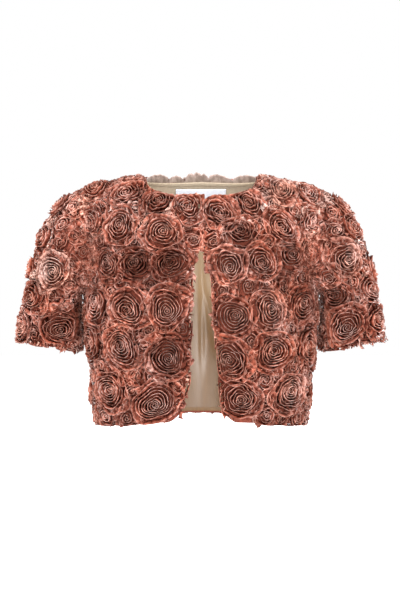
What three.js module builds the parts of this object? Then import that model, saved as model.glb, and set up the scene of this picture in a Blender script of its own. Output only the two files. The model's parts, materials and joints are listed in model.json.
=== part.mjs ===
// A cropped evening jacket with short sleeves, worn open over a dress, covered all over
// with ribbon rosettes. It keeps the hollow form it has on a wearer. Millimetres, +Z up,
// the front faces -Y, and the wearer's left is +X. The origin lies midway between the
// shoulders, at the height where the shoulder seams meet the neckline.
import * as THREE from "three";
import { mergeVertices } from "three/addons/utils/BufferGeometryUtils.js";

// Heights of the body.
const HEM_Z = -375;
const HEM_DROP = 9; // how much lower the hem hangs at the side seams
const UNDERARM_Z = -178;
const SHOULDER_Z = 0;
const SHOULDER_SLOPE = 0.16;
const SHOULDER_CURVE = 0.0011;

// Neckline, in plan. A squareness of 2 is an oval.
const NECK_HALF_WIDTH = 94;
const NECK_FRONT = { depth: 76, squareness: 3 };
const NECK_BACK = { depth: 60, squareness: 2.3 };
const CHEST_RISE = 9; // how far the chest's dome would rise inside the neckline
const NAPE_RISE = 28;
const BACK_FULLNESS = 0.85;

// Armhole: the share of the half width that the panels keep above the underarm.
const ARMHOLE_KEEP = 0.852;
const ARMHOLE_ROUND = 0.13;

// Walls.
const CLOTH = 2.5; // the rosettes' backing net with the seam allowances
const RUFFLE = 3; // the loose ribbon that fills the spaces between rosettes
const SEAM_GAP = 0.4;
const CREASE_WIDTH = 12; // how far from the armhole its mitre still shows

// The satin lining of the back, its neck binding and the label.
const SATIN_THICK = 1;
const SATIN_GAP = 0.7;
const EASE_PLEAT = 7; // how far the lining's pleat stands in from the back
const BINDING = { depth: 6.5, near: 2.6, far: 3.5 };
const LABEL = { halfWidth: 41.5, top: -8, bottom: -24, near: 2.2, far: 2.8 };

// Torn ribbon petals that stand up along the back neck.
const FRILL_THICK = 0.9;
const FRILL_FOOT = 1.6; // clear height between the neckline's rim and a petal
const PETALS = [
  { from: -87, to: -54, height: 13, jag: 2 },
  { from: -52.5, to: -29, height: 11, jag: 1 },
  { from: -27.5, to: 14, height: 14, jag: 3 },
  { from: 15.5, to: 51, height: 10, jag: 2 },
  { from: 52.5, to: 90, height: 12, jag: 2 },
];

// Hook and eye closures at the bust, sewn to the fronts' inside.
const CLOSURES = [
  { name: "upper", z: -99, inside: 2.25 },
  { name: "lower", z: -115, inside: 1.5 },
];
const WIRE = 0.4;
const EYE_RADIUS = 2.4;

// Rosettes.
const LARGE_HEIGHT = 12.5;
const SMALL_HEIGHT = 7.5;
const SMALL_RADIUS = 15;
const SMALLEST_ROOM = 6.5;
const HEART_DIP = 0.3;
const MOST_LOBE = 6;

// Sleeve.
const CUFF = { x: 241.5, y: 16, z: -261, halfWidth: 43.5, halfDepth: 58, tilt: 0.15 };

// Horizontal sections, from the hem (-1) by the underarm (0) to the shoulder seam (1).
const SECTIONS = [
  { level: -1.0, halfWidth: 161, front: 104, back: 98 },
  { level: -0.7, halfWidth: 165, front: 108, back: 99 },
  { level: -0.4, halfWidth: 173, front: 113, back: 103 },
  { level: -0.15, halfWidth: 181, front: 116, back: 107 },
  { level: 0.0, halfWidth: 184, front: 117, back: 109 },
  { level: 0.5, halfWidth: 198, front: 117, back: 111 },
  { level: 1.0, halfWidth: 230, front: 117, back: 111 },
];

// How far each front edge stands from the middle: they meet at the hooks, then part.
const FRONT_EDGES = [
  { level: -1.0, right: 31, left: 35 },
  { level: -0.84, right: 27, left: 31 },
  { level: -0.65, right: 18, left: 28 },
  { level: -0.4, right: 17, left: 24 },
  { level: -0.1, right: 15, left: 19 },
  { level: 0.04, right: 15, left: 18 },
  { level: 0.15, right: 11, left: 9 },
  { level: 0.23, right: 1.8, left: 1.8 },
  { level: 0.4, right: 1.7, left: 1.7 },
  { level: 1.0, right: 1.7, left: 1.7 },
];

// Rows of large rosettes on the fronts, as the tape was sewn on: the height of a row at the
// middle, how much it rises towards the side, and how far out its rosettes stand.
const FRONT_ROWS = [
  { side: -1, z: -40, rise: 0.11, radius: 24, out: [112, 166] },
  { side: -1, z: -53, rise: 0.12, radius: 23, out: [17, 65] },
  { side: -1, z: -101, rise: 0.16, radius: 25, out: [59, 123, 185] },
  { side: -1, z: -139, rise: 0.01, radius: 25, out: [44, 96, 141] },
  { side: -1, z: -202, rise: 0.02, radius: 28, out: [50, 108, 158] },
  { side: -1, z: -286, rise: 0.19, radius: 30, out: [52, 116, 163] },
  { side: -1, z: -357, rise: 0.21, radius: 31, out: [67, 137] },
  { side: 1, z: -12, rise: -0.09, radius: 23, out: [119, 165] },
  { side: 1, z: -66, rise: 0.25, radius: 24, out: [27, 74] },
  { side: 1, z: -100, rise: 0.16, radius: 25, out: [58, 122, 179] },
  { side: 1, z: -144, rise: 0.15, radius: 24, out: [43, 87, 132, 173] },
  { side: 1, z: -223, rise: 0.17, radius: 28, out: [45, 99, 153] },
  { side: 1, z: -289, rise: 0.19, radius: 29, out: [45, 109, 160] },
  { side: 1, z: -339, rise: 0.04, radius: 30, out: [55, 132] },
];
// The same for the back and the sleeves: first is the distance of the first rosette from
// the middle, measured over the cloth, and pitch is the spacing.
const BACK_ROWS = [
  { z: -12, first: 116, pitch: 50, radius: 24 },
  { z: -34, first: 25, pitch: 50, radius: 25 },
  { z: -82, first: 0, pitch: 54, radius: 27 },
  { z: -140, first: 30, pitch: 60, radius: 29 },
  { z: -206, first: 0, pitch: 61, radius: 30 },
  { z: -272, first: 31, pitch: 62, radius: 30 },
  { z: -338, first: 0, pitch: 62, radius: 31 },
];
const SLEEVE_ROWS = [
  { along: 0.17, first: 0, pitch: 50, radius: 24 },
  { along: 0.4, first: 25, pitch: 51, radius: 25 },
  { along: 0.64, first: 0, pitch: 52, radius: 25 },
  { along: 0.89, first: 26, pitch: 52, radius: 25 },
];

// Mesh steps. All are even, because each wall's plain inside has half the outside's steps.
const LOW_STEPS = 18;
const HIGH_STEPS = 18;
const NECK_STEPS = 12;
const SHOULDER_STEPS = 12;
const SLEEVE_STEPS = 20;
const NECK_BUNCHING = 1.35; // columns crowd towards the neckline's corner
const HIGH_BUNCHING = 1.6; // rows crowd towards the underarm's curve

const ROSE = 0xa86e5c;
const SATIN = 0xb9a68a;
const LABEL_WHITE = 0xe2e4ea;
const STEEL = 0x77726c;

const { lerp, clamp, smoothstep, degToRad } = THREE.MathUtils;

// A smooth curve through one named column of a table.
function column(table, key, name, at) {
  const last = table.length - 1;
  const x = clamp(at, table[0][key], table[last][key]);
  let i = 0;
  while (i < last - 1 && table[i + 1][key] < x) i++;
  const [p, q] = [table[i], table[i + 1]];
  const slope = (a, b) => (b[name] - a[name]) / (b[key] - a[key]);
  const here = slope(p, q);
  const before = i > 0 ? slope(table[i - 1], p) : here;
  const after = i < last - 1 ? slope(q, table[i + 2]) : here;
  const flat = (a, b) => (a * b <= 0 ? 0 : (2 * a * b) / (a + b));
  const width = q[key] - p[key];
  const s = (x - p[key]) / width;
  return (
    p[name] * (1 + 2 * s) * (1 - s) ** 2 +
    q[name] * (3 - 2 * s) * s ** 2 +
    width * s * (1 - s) * (flat(before, here) * (1 - s) - flat(here, after) * s)
  );
}

// Height of the shoulder line at a distance from the middle, as the front or back sees it.
function ridge(half, x) {
  const out = Math.abs(x) - NECK_HALF_WIDTH;
  if (out > 0) return SHOULDER_Z - SHOULDER_SLOPE * out - SHOULDER_CURVE * out ** 2;
  const rise = half < 0 ? CHEST_RISE : NAPE_RISE;
  return SHOULDER_Z + rise * (1 - (x / NECK_HALF_WIDTH) ** 2);
}

// The body's inner face. half is -1 for the fronts and 1 for the back, side is -1 or 1,
// turn is the angle from the middle towards the side, and level is as in SECTIONS.
function body(half, side, turn, level) {
  const x = side * column(SECTIONS, "level", "halfWidth", level) * Math.sin(turn);
  const depth = column(SECTIONS, "level", half < 0 ? "front" : "back", level);
  const y = half * depth * Math.cos(turn);
  if (level <= 0) {
    const drop = HEM_DROP * level ** 2 * Math.sin(turn) ** 2;
    return new THREE.Vector3(x, y, lerp(UNDERARM_Z, HEM_Z, -level) - drop);
  }
  const arc = (Math.min(level, 1) * Math.PI) / 2;
  const closing = Math.max(Math.cos(arc), 0) ** (half < 0 ? 1 : BACK_FULLNESS);
  const z = UNDERARM_Z + (ridge(half, x) - UNDERARM_Z) * Math.sin(arc);
  return new THREE.Vector3(x, y * closing, z);
}

// The outward direction of a surface given as a function of two numbers.
function normalOf(surface, a, b, outward) {
  const step = 0.002;
  const along = surface(a + step, b).sub(surface(a - step, b));
  const up = surface(a, b + step).sub(surface(a, b - step));
  const normal = along.cross(up).normalize();
  return normal.dot(outward) < 0 ? normal.negate() : normal;
}

function bodyNormal(half, side, turn, level) {
  const at = Math.min(level, 0.995);
  const place = body(half, side, turn, at);
  const outward = new THREE.Vector3(place.x, place.y, Math.max(level, 0) * 120);
  return normalOf((a, b) => body(half, side, a, b), turn, at, outward);
}

// The turn at which a panel meets the side seam or, above it, the armhole.
function sideTurn(level) {
  if (level <= 0) return Math.PI / 2;
  return Math.asin(ARMHOLE_KEEP + (1 - ARMHOLE_KEEP) * Math.exp(-level / ARMHOLE_ROUND));
}

// The turn at which a front ends at its own edge.
function edgeTurn(side, level) {
  const gap = column(FRONT_EDGES, "level", side < 0 ? "right" : "left", level);
  return Math.asin(gap / column(SECTIONS, "level", "halfWidth", level));
}

function panelTurn(half, side, across, level) {
  const from = half < 0 ? edgeTurn(side, level) : 0;
  // Only the outermost columns follow the underarm's sharp curve.
  const eased = lerp(Math.PI / 2, Math.asin(ARMHOLE_KEEP), smoothstep(level, -0.35, 0.7));
  return lerp(from, lerp(eased, sideTurn(level), across ** 3), across);
}

// The level at which a strip of a panel ends: at the neckline or at the shoulder seam.
function topLevel(half, side, across) {
  const neck = half < 0 ? NECK_FRONT : NECK_BACK;
  const outside = (level) => {
    const p = body(half, side, panelTurn(half, side, across, level), level);
    const [x, y] = [Math.abs(p.x) / NECK_HALF_WIDTH, Math.abs(p.y) / neck.depth];
    return x ** neck.squareness + y ** neck.squareness > 1;
  };
  let [low, high] = [0.2, 1];
  if (outside(high - 1e-6)) return 1;
  for (let i = 0; i < 40; i++) {
    const middle = (low + high) / 2;
    if (outside(middle)) low = middle;
    else high = middle;
  }
  return low;
}

// The share of a panel's width at which the neckline meets the shoulder seam.
const NECK_SHARE = Math.asin(NECK_HALF_WIDTH / 230) / sideTurn(1);

// Step i of a panel counted from the middle, as a share of its width.
function acrossAt(i) {
  if (i <= NECK_STEPS) return (1 - (1 - i / NECK_STEPS) ** NECK_BUNCHING) * NECK_SHARE;
  return lerp(NECK_SHARE, 1, (i - NECK_STEPS) / SHOULDER_STEPS);
}

// Step j of a panel counted from the hem, as a level.
function levelAt(half, side, across, j) {
  if (j <= LOW_STEPS) return j / LOW_STEPS - 1;
  const share = (j - LOW_STEPS) / HIGH_STEPS;
  const bunched = lerp(share, share ** HIGH_BUNCHING, across);
  return topLevel(half, side, across) * bunched;
}

// A step of the armhole, counted from the underarm to the shoulder.
function armholeLevel(j) {
  return (j / HIGH_STEPS) ** HIGH_BUNCHING;
}

// The sleeve's rings run from the shoulder's tip down the front to the underarm and up the
// back. turnStep may be a fraction, and along goes from the armhole (0) to the cuff (1).
function armholePoint(side, turnStep) {
  const half = turnStep <= HIGH_STEPS ? -1 : 1;
  const j = half < 0 ? HIGH_STEPS - turnStep : turnStep - HIGH_STEPS;
  const level = armholeLevel(j);
  return body(half, side, sideTurn(level), level);
}

function cuffPoint(side, angle) {
  const out = CUFF.halfWidth * Math.cos(angle);
  const back = -CUFF.halfDepth * Math.sin(angle);
  return new THREE.Vector3(side * (CUFF.x + out), CUFF.y + back, CUFF.z + CUFF.tilt * out);
}

function sleeve(side, turnStep, along) {
  const wrapped = THREE.MathUtils.euclideanModulo(turnStep, 2 * HIGH_STEPS);
  const angle = (wrapped / HIGH_STEPS) * Math.PI;
  const start = armholePoint(side, wrapped);
  const end = cuffPoint(side, angle);
  const reach = start.distanceTo(end);
  const top = (1 + Math.cos(angle)) / 2;
  const leaving = new THREE.Vector3(side, -0.25 * Math.sin(angle), -0.32 * top);
  const arriving = new THREE.Vector3(side * CUFF.tilt, 0, -1);
  const path = new THREE.CubicBezierCurve3(
    start,
    start.clone().addScaledVector(leaving.normalize(), reach * lerp(0.36, 0.22, top)),
    end.clone().addScaledVector(arriving.normalize(), -reach * 0.44),
    end,
  );
  return path.getPoint(along);
}

function sleeveNormal(side, turnStep, along) {
  const at = clamp(along, 0.01, 0.99);
  const middle = new THREE.Vector3();
  for (let k = 0; k < 4; k++) middle.add(sleeve(side, (k * HIGH_STEPS) / 2, at));
  const outward = sleeve(side, turnStep, at).addScaledVector(middle, -0.25);
  return normalOf((a, b) => sleeve(side, a, b), turnStep, at, outward);
}

// Where the walls of body and sleeve meet, both lean to the same mitre.
function armholeLean(side, turnStep) {
  const half = turnStep <= HIGH_STEPS ? -1 : 1;
  const j = half < 0 ? HIGH_STEPS - turnStep : turnStep - HIGH_STEPS;
  const level = armholeLevel(j);
  const lean = bodyNormal(half, side, sideTurn(level), level);
  const other = sleeveNormal(side, turnStep, 0);
  const opening = 1 + lean.dot(other);
  return lean.add(other).divideScalar(Math.max(opening, 0.8));
}

// Rosettes. Each has a centre on the cloth, a radius and a height.
const rosettes = [];

function roomAt(place) {
  let room = Infinity;
  for (const r of rosettes) room = Math.min(room, r.centre.distanceTo(place) - r.radius);
  return room;
}

function addLarge(place, radius) {
  if (roomAt(place) < 0.55 * radius) return;
  rosettes.push({ centre: place, radius, height: LARGE_HEIGHT });
}

// The level of the body that lies at a height, for a given turn.
function levelOfHeight(half, side, turn, z) {
  let [low, high] = [-1, 1];
  for (let i = 0; i < 30; i++) {
    const middle = (low + high) / 2;
    if (body(half, side, turn, middle).z < z) low = middle;
    else high = middle;
  }
  return low;
}

function addFrontRow({ side, z, rise, radius, out }) {
  for (const x of out) {
    const height = z + rise * x;
    const at = (turn) => body(-1, side, turn, levelOfHeight(-1, side, turn, height));
    let [low, high] = [0, Math.PI / 2];
    for (let i = 0; i < 24; i++) {
      const middle = (low + high) / 2;
      if (Math.abs(at(middle).x) < x) low = middle;
      else high = middle;
    }
    addLarge(at(low), radius);
  }
}

// One row of rosettes on half the back, spaced by arc length from the middle.
function addBackRow(side, row) {
  const step = degToRad(0.5);
  let [gone, due] = [0, row.first];
  let last = null;
  for (let turn = 0; turn <= Math.PI / 2; turn += step) {
    const level = levelOfHeight(1, side, turn, row.z);
    const place = body(1, side, turn, level);
    if (level > 0.97 || turn > sideTurn(level)) break;
    if (last) gone += place.distanceTo(last);
    last = place;
    if (gone < due) continue;
    due += row.pitch;
    addLarge(place, row.radius);
  }
}

function addSleeveRow(side, row) {
  const rings = 2 * HIGH_STEPS;
  for (const direction of [1, -1]) {
    let [gone, due] = [0, row.first];
    let last = null;
    for (let k = 0; k <= HIGH_STEPS; k += 0.25) {
      const place = sleeve(side, (rings + direction * k) % rings, row.along);
      if (last) gone += place.distanceTo(last);
      last = place;
      if (gone < due) continue;
      due += row.pitch;
      addLarge(place, row.radius);
    }
  }
}

// Small rosettes go into the spaces that the large ones leave, the widest space first.
function fillSpaces() {
  const spots = [];
  for (const side of [-1, 1]) {
    for (const half of [-1, 1])
      for (let i = 0; i <= 26; i++)
        for (let j = 0; j <= 44; j++) {
          const level = j <= 22 ? j / 22 - 1 : ((j - 22) / 22) * topLevel(half, side, i / 26);
          spots.push(body(half, side, panelTurn(half, side, i / 26, level), level));
        }
    for (let k = 0; k < 4 * HIGH_STEPS; k++)
      for (let j = 1; j <= 22; j++) spots.push(sleeve(side, k / 2, j / 22));
  }
  const rooms = spots.map(roomAt);
  for (;;) {
    let best = 0;
    rooms.forEach((room, i) => {
      if (room > rooms[best]) best = i;
    });
    if (rooms[best] < SMALLEST_ROOM) return;
    const radius = Math.min(SMALL_RADIUS, rooms[best] + 4);
    rosettes.push({ centre: spots[best], radius, height: SMALL_HEIGHT });
    spots.forEach((spot, i) => {
      rooms[i] = Math.min(rooms[i], spot.distanceTo(spots[best]) - radius);
    });
  }
}

for (const row of FRONT_ROWS) addFrontRow(row);
for (const side of [-1, 1]) {
  for (const row of BACK_ROWS) addBackRow(side, row);
  for (const row of SLEEVE_ROWS) addSleeveRow(side, row);
}
fillSpaces();

// The crease between body and sleeve, with the most relief that it has room for.
const creases = [];
for (const side of [-1, 1])
  for (let k = 0; k < 2 * HIGH_STEPS; k++) {
    const place = armholePoint(side, k);
    const room = 0.5 + 14 * smoothstep(place.z, -130, -50);
    creases.push({ place, room, lean: armholeLean(side, k) });
  }

// The narrow space between the body's side and the sleeve's underside.
const narrows = [];
for (const side of [-1, 1])
  for (let k = 1; k <= 10; k++) {
    const under = sleeve(side, HIGH_STEPS, k / 10);
    const level = (UNDERARM_Z - under.z) / (UNDERARM_Z - HEM_Z);
    const beside = body(-1, side, Math.PI / 2, -level);
    const room = (Math.abs(under.x - beside.x) - 2 * CLOTH - 5) / 2;
    narrows.push({ place: under, room }, { place: beside, room });
  }

// The direction in which a wall stands up: its normal, turned to the mitre at a crease.
function leanAt(place, normal) {
  let nearest = creases[0];
  let least = Infinity;
  for (const crease of creases) {
    const far = crease.place.distanceTo(place);
    if (far < least) [nearest, least] = [crease, far];
  }
  return nearest.lean.clone().lerp(normal, smoothstep(least, 0, CREASE_WIDTH));
}

// How far the applique stands up from the cloth at a place.
function reliefAt(place) {
  let relief = RUFFLE;
  for (const r of rosettes) {
    const share = r.centre.distanceTo(place) / r.radius;
    if (share >= 1) continue;
    const heart = 1 - HEART_DIP * Math.exp(-((share / 0.28) ** 2));
    relief = Math.max(relief, RUFFLE + (r.height - RUFFLE) * (1 - share ** 2) ** 0.5 * heart);
  }
  for (const tight of [...creases, ...narrows]) {
    const far = tight.place.distanceTo(place);
    relief = Math.min(relief, tight.room + 0.1 * far + 0.0032 * far ** 2);
  }
  return relief;
}

// How far a rosette reaches past a free edge of the cloth.
function lobeAt(place, away) {
  let lobe = 0;
  for (const r of rosettes) {
    const from = place.clone().sub(r.centre);
    const past = from.dot(away);
    const inside = r.radius ** 2 - from.lengthSq() + past ** 2;
    if (inside > 0) lobe = Math.max(lobe, Math.sqrt(inside) - past);
  }
  return Math.min(lobe, MOST_LOBE);
}

// A closed wall between an outer and an inner grid of points. The inner one takes every
// point (skip 1) or every second one (skip 2). A wall that wraps joins its last column to
// its first.
function wall(columns, rows, outer, inner, { wraps = false, flipped = false, skip = 2 }) {
  const across = wraps ? columns : columns + 1;
  const points = [];
  const faces = [];
  const number = new Map();
  const id = (layer, i, j) => {
    const key = `${layer} ${i % across} ${j}`;
    if (!number.has(key)) {
      number.set(key, points.length);
      points.push(layer === "o" ? outer(i % across, j) : inner(i % across, j));
    }
    return number.get(key);
  };
  const add = (a, b, c) => faces.push(...(flipped ? [a, c, b] : [a, b, c]));
  const quad = (layer, i, j, step, reverse) => {
    const [a, b] = [id(layer, i, j), id(layer, i + step, j)];
    const [c, d] = [id(layer, i + step, j + step), id(layer, i, j + step)];
    const corners = (i / step + j / step) % 2 ? [a, b, c, a, c, d] : [a, b, d, b, c, d];
    for (let k = 0; k < 6; k += 3) {
      const [p, q, r] = corners.slice(k, k + 3);
      if (reverse) add(p, r, q);
      else add(p, q, r);
    }
  };
  for (let i = 0; i < columns; i++) for (let j = 0; j < rows; j++) quad("o", i, j, 1, false);
  for (let i = 0; i < columns; i += skip)
    for (let j = 0; j < rows; j += skip) quad("i", i, j, skip, true);
  // The rim along one border, walked with the outer face on the left.
  const rim = (count, at) => {
    for (let k = 0; k < count; k += skip) {
      const [o0, o1] = [0, 1].map((n) => id("o", ...at(k + n)));
      const [i0, i1] = [0, skip].map((n) => id("i", ...at(k + n)));
      add(o1, o0, i0);
      add(o1, i0, i1);
      if (skip === 2) add(id("o", ...at(k + 2)), o1, i1);
    }
  };
  rim(columns, (k) => [k, 0]);
  rim(columns, (k) => [columns - k, rows]);
  if (!wraps) {
    rim(rows, (k) => [columns, k]);
    rim(rows, (k) => [0, rows - k]);
  }
  const geometry = new THREE.BufferGeometry();
  const flat = points.flatMap((p) => [p.x, p.y, p.z]);
  geometry.setAttribute("position", new THREE.Float32BufferAttribute(flat, 3));
  geometry.setIndex(faces);
  return geometry;
}

const LINING_ROWS = (LOW_STEPS + HIGH_STEPS) / 2;

// Panel points, from the middle (0) to the side seam, or across the whole back.
const PANEL_STEPS = NECK_STEPS + SHOULDER_STEPS;

function panelSpot(half, side, i, j) {
  const across = acrossAt(i);
  const level = levelAt(half, side, across, j);
  const turn = panelTurn(half, side, across, level);
  return { place: body(half, side, turn, level), turn, level };
}

function panelOuter(half, side, i, j) {
  const { place, turn, level } = panelSpot(half, side, i, j);
  const lean = leanAt(place, bodyNormal(half, side, turn, level));
  const out = place.clone().addScaledVector(lean, CLOTH + reliefAt(place));
  // Rosettes reach past the hem, the front edge and the front neckline.
  const inward = { i, j };
  if (j === 0) inward.j = 1;
  else if (half < 0 && j === LOW_STEPS + HIGH_STEPS && i < NECK_STEPS) inward.j = j - 1;
  else if (half < 0 && i === 0) inward.i = 1;
  if (inward.i !== i || inward.j !== j) {
    const away = place.clone().sub(panelSpot(half, side, inward.i, inward.j).place);
    away.normalize();
    out.addScaledVector(away, lobeAt(place, away));
    if (half < 0) out.x = side * Math.max(side * out.x, 0.6);
  }
  return out;
}

function shifted(point, y) {
  point.y += y;
  return point;
}

function frontPanel(side) {
  return wall(
    PANEL_STEPS,
    LOW_STEPS + HIGH_STEPS,
    (i, j) => shifted(panelOuter(-1, side, i, j), -SEAM_GAP / 2),
    (i, j) => shifted(panelSpot(-1, side, i, j).place, -SEAM_GAP / 2),
    { flipped: side < 0 },
  );
}

// The back's columns run from the wearer's left side to the right one.
function backSide(i) {
  return { side: i < PANEL_STEPS ? 1 : -1, i: Math.abs(PANEL_STEPS - i) };
}

function backPanel() {
  return wall(
    2 * PANEL_STEPS,
    LOW_STEPS + HIGH_STEPS,
    (i, j) => shifted(panelOuter(1, backSide(i).side, backSide(i).i, j), SEAM_GAP / 2),
    (i, j) => shifted(panelSpot(1, backSide(i).side, backSide(i).i, j).place, SEAM_GAP / 2),
    {},
  );
}

function sleevePanel(side) {
  const rings = 2 * HIGH_STEPS;
  const base = (i, j) => {
    const place = sleeve(side, i, j / SLEEVE_STEPS);
    place.x += side * SEAM_GAP;
    return place;
  };
  const outer = (i, j) => {
    const place = sleeve(side, i, j / SLEEVE_STEPS);
    const lean = leanAt(place, sleeveNormal(side, i, j / SLEEVE_STEPS));
    const out = base(i, j).addScaledVector(lean, CLOTH + reliefAt(place));
    if (j < SLEEVE_STEPS) return out;
    const away = place.clone().sub(sleeve(side, i, (j - 1) / SLEEVE_STEPS)).normalize();
    return out.addScaledVector(away, lobeAt(place, away));
  };
  return wall(rings, SLEEVE_STEPS, outer, base, { wraps: true, flipped: side < 0 });
}

// What lies inside the back is made from the back's inner face, moved in. Columns are
// counted from the middle, with the wearer's left positive.
function insideBack(column, row, inward) {
  const side = column < 0 ? -1 : 1;
  const spot = panelSpot(1, side, Math.abs(column), row);
  const normal = bodyNormal(1, side, spot.turn, spot.level);
  return shifted(spot.place.addScaledVector(normal, -inward), SEAM_GAP / 2);
}

// The same on the coarse facets that the back's inside and the lining have.
function onLining(column, row, inward) {
  const [i, j] = [2 * Math.floor(column / 2), 2 * Math.min(Math.floor(row / 2), LINING_ROWS - 1)];
  const [a, b] = [(column - i) / 2, (row - j) / 2];
  const lower = insideBack(i, j, inward).lerp(insideBack(i + 2, j, inward), a);
  const upper = insideBack(i, j + 2, inward).lerp(insideBack(i + 2, j + 2, inward), a);
  return lower.lerp(upper, b);
}

// The lining's ease pleat runs down the middle of the back.
function pleatAt(place) {
  const fall = smoothstep(-place.z, 60, 200);
  const middle = lerp(0, 4, fall);
  const fold = Math.exp(-(((place.x - middle) / lerp(4, 6, fall)) ** 2));
  return lerp(1.2, EASE_PLEAT, fall) * fold * smoothstep(-place.z, 10, 60);
}

const LINING_COLUMNS = [];
for (let i = -PANEL_STEPS; i <= PANEL_STEPS; i += 2) LINING_COLUMNS.push(i);
LINING_COLUMNS.push(-1.3, -0.8, -0.4, 0.4, 0.8, 1.3);
LINING_COLUMNS.sort((a, b) => b - a);
function backLining() {
  const layer = (inward) => (i, j) => {
    const row = Math.max(2 * j, 0.4);
    const fold = pleatAt(insideBack(LINING_COLUMNS[i], row, 0));
    return insideBack(LINING_COLUMNS[i], row, inward + fold);
  };
  const [near, far] = [layer(SATIN_GAP), layer(SATIN_GAP + SATIN_THICK)];
  return wall(LINING_COLUMNS.length - 1, LINING_ROWS, near, far, { skip: 1 });
}

// The row of the lining at which a column is at a height.
function rowAtHeight(column, z) {
  let [low, high] = [0, LOW_STEPS + HIGH_STEPS];
  for (let i = 0; i < 24; i++) {
    const middle = (low + high) / 2;
    if (onLining(column, middle, 0).z < z) low = middle;
    else high = middle;
  }
  return low;
}

// A satin band along the inside of the back neckline.
function neckBinding() {
  const columns = NECK_STEPS;
  const top = LOW_STEPS + HIGH_STEPS;
  const layer = (inward) => (i, j) => {
    const column = clamp(NECK_STEPS - 2 * i, 0.1 - NECK_STEPS, NECK_STEPS - 0.1);
    const step = onLining(column, top, 0).distanceTo(onLining(column, top - 2, 0));
    return onLining(column, top - ((2 - j) * BINDING.depth) / step, inward);
  };
  return wall(columns, 2, layer(BINDING.near), layer(BINDING.far), { skip: 1 });
}

// The column of the lining at which a row is at a distance from the middle.
function columnAt(x, row) {
  let column = x / 9.4;
  for (let k = 0; k < 5; k++) column += (x - onLining(column, row, 0).x) / 9.4;
  return column;
}

function neckLabel() {
  const layer = (inward) => (i, j) => {
    const x = lerp(LABEL.halfWidth, -LABEL.halfWidth, i / 10);
    const z = lerp(LABEL.bottom, LABEL.top, j / 2);
    const row = rowAtHeight(columnAt(x, LOW_STEPS + HIGH_STEPS - 2), z);
    return onLining(columnAt(x, row), row, inward);
  };
  return wall(10, 2, layer(LABEL.near), layer(LABEL.far), { skip: 1 });
}

// One petal of the neck frill stands on the rim of the back's neckline.
function petal({ from, to, height, jag }) {
  const steps = 8;
  const top = LOW_STEPS + HIGH_STEPS;
  const foot = (x) => {
    const column = columnAt(x, top);
    const inner = onLining(column, top, 0);
    const outer = panelOuter(1, column < 0 ? -1 : 1, Math.abs(column), top);
    return inner.lerp(shifted(outer, SEAM_GAP / 2), 0.5);
  };
  const layer = (offset) => (i, j) => {
    const share = i / steps;
    const place = foot(lerp(to, from, share));
    const arch = Math.sin(Math.PI * lerp(0.1, 0.9, share)) ** 0.6;
    const tear = jag * Math.sin(i * 2.3) * (i % steps === 0 ? 0 : 1);
    place.z += FRILL_FOOT + (j / 2) * (height * arch + tear);
    place.y += offset + 2.2 * Math.sin(share * 7) * (j / 2) ** 2;
    return place;
  };
  return wall(steps, 2, layer(FRILL_THICK / 2), layer(-FRILL_THICK / 2), { skip: 1 });
}

// A wire that closes on itself, through named points in plan and height.
function wireLoop(points) {
  const path = new THREE.CatmullRomCurve3(points, true, "catmullrom", 0.5);
  return mergeVertices(bare(new THREE.TubeGeometry(path, 28, WIRE, 5, true)));
}

// Only positions are kept, so that points on a seam can be joined.
function bare(geometry) {
  geometry.deleteAttribute("normal");
  geometry.deleteAttribute("uv");
  return geometry;
}

// The hook's doubled wire reaches from the right front through the eye and turns back.
function closure({ z, inside }) {
  const y = body(-1, 1, 0, levelOfHeight(-1, 1, 0, z)).y + inside;
  const eye = mergeVertices(bare(new THREE.TorusGeometry(EYE_RADIUS, WIRE, 5, 16)));
  eye.rotateX(Math.PI / 2).translate(1.4, y, z);
  const profile = [
    { x: -5.2, y: 1.3, spread: 1.5 },
    { x: -2.6, y: 1.3, spread: 0.7 },
    { x: 0.2, y: 1.25, spread: 0.6 },
    { x: 0.9, y: 0, spread: 0.6 },
    { x: 0.2, y: -1.25, spread: 0.6 },
    { x: -2, y: -1.35, spread: 0.5 },
  ];
  const at = (p, way) => new THREE.Vector3(p.x, y + p.y, z + way * p.spread);
  const out = profile.map((p) => at(p, 1));
  const home = profile.map((p) => at(p, -1)).reverse();
  return { eye, hook: wireLoop([...out, ...home]) };
}

const group = new THREE.Group();
function addPiece(name, geometry, colour, roughness, metalness) {
  const material = new THREE.MeshStandardMaterial({ color: colour, roughness, metalness });
  const mesh = new THREE.Mesh(geometry, material);
  mesh.name = name;
  group.add(mesh);
}

addPiece("front_right", frontPanel(-1), ROSE, 0.6, 0);
addPiece("front_left", frontPanel(1), ROSE, 0.6, 0);
addPiece("back", backPanel(), ROSE, 0.6, 0);
addPiece("sleeve_right", sleevePanel(-1), ROSE, 0.6, 0);
addPiece("sleeve_left", sleevePanel(1), ROSE, 0.6, 0);
addPiece("back_lining", backLining(), SATIN, 0.35, 0);
addPiece("neck_binding", neckBinding(), SATIN, 0.35, 0);
addPiece("neck_label", neckLabel(), LABEL_WHITE, 0.4, 0);
PETALS.forEach((p, i) => addPiece(`neck_petal_${i + 1}`, petal(p), SATIN, 0.6, 0));
for (const row of CLOSURES) {
  const { eye, hook } = closure(row);
  addPiece(`eye_${row.name}`, eye, STEEL, 0.35, 1);
  addPiece(`hook_${row.name}`, hook, STEEL, 0.35, 1);
}

export default group;
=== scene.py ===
# %% [markdown]
# # A cropped jacket of ribbon rosettes
#
# The real jacket is a light net bolero on which wound ribbon rosettes are sewn side by side.
# The CAD model gives the frame: panels with domed walls, a back lining and small pieces.
# One could paint the rosettes on those walls, but they would look flat from the side. So
# every panel becomes a thin net shell here, and real ribbon stands on it, turn by turn.
# Lengths are millimetres until a mesh is written, and then metres.

# %% Load the frame
import json
import math

import bmesh
import bpy
import numpy as np
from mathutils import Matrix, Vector, kdtree
from mathutils.bvhtree import BVHTree

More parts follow.
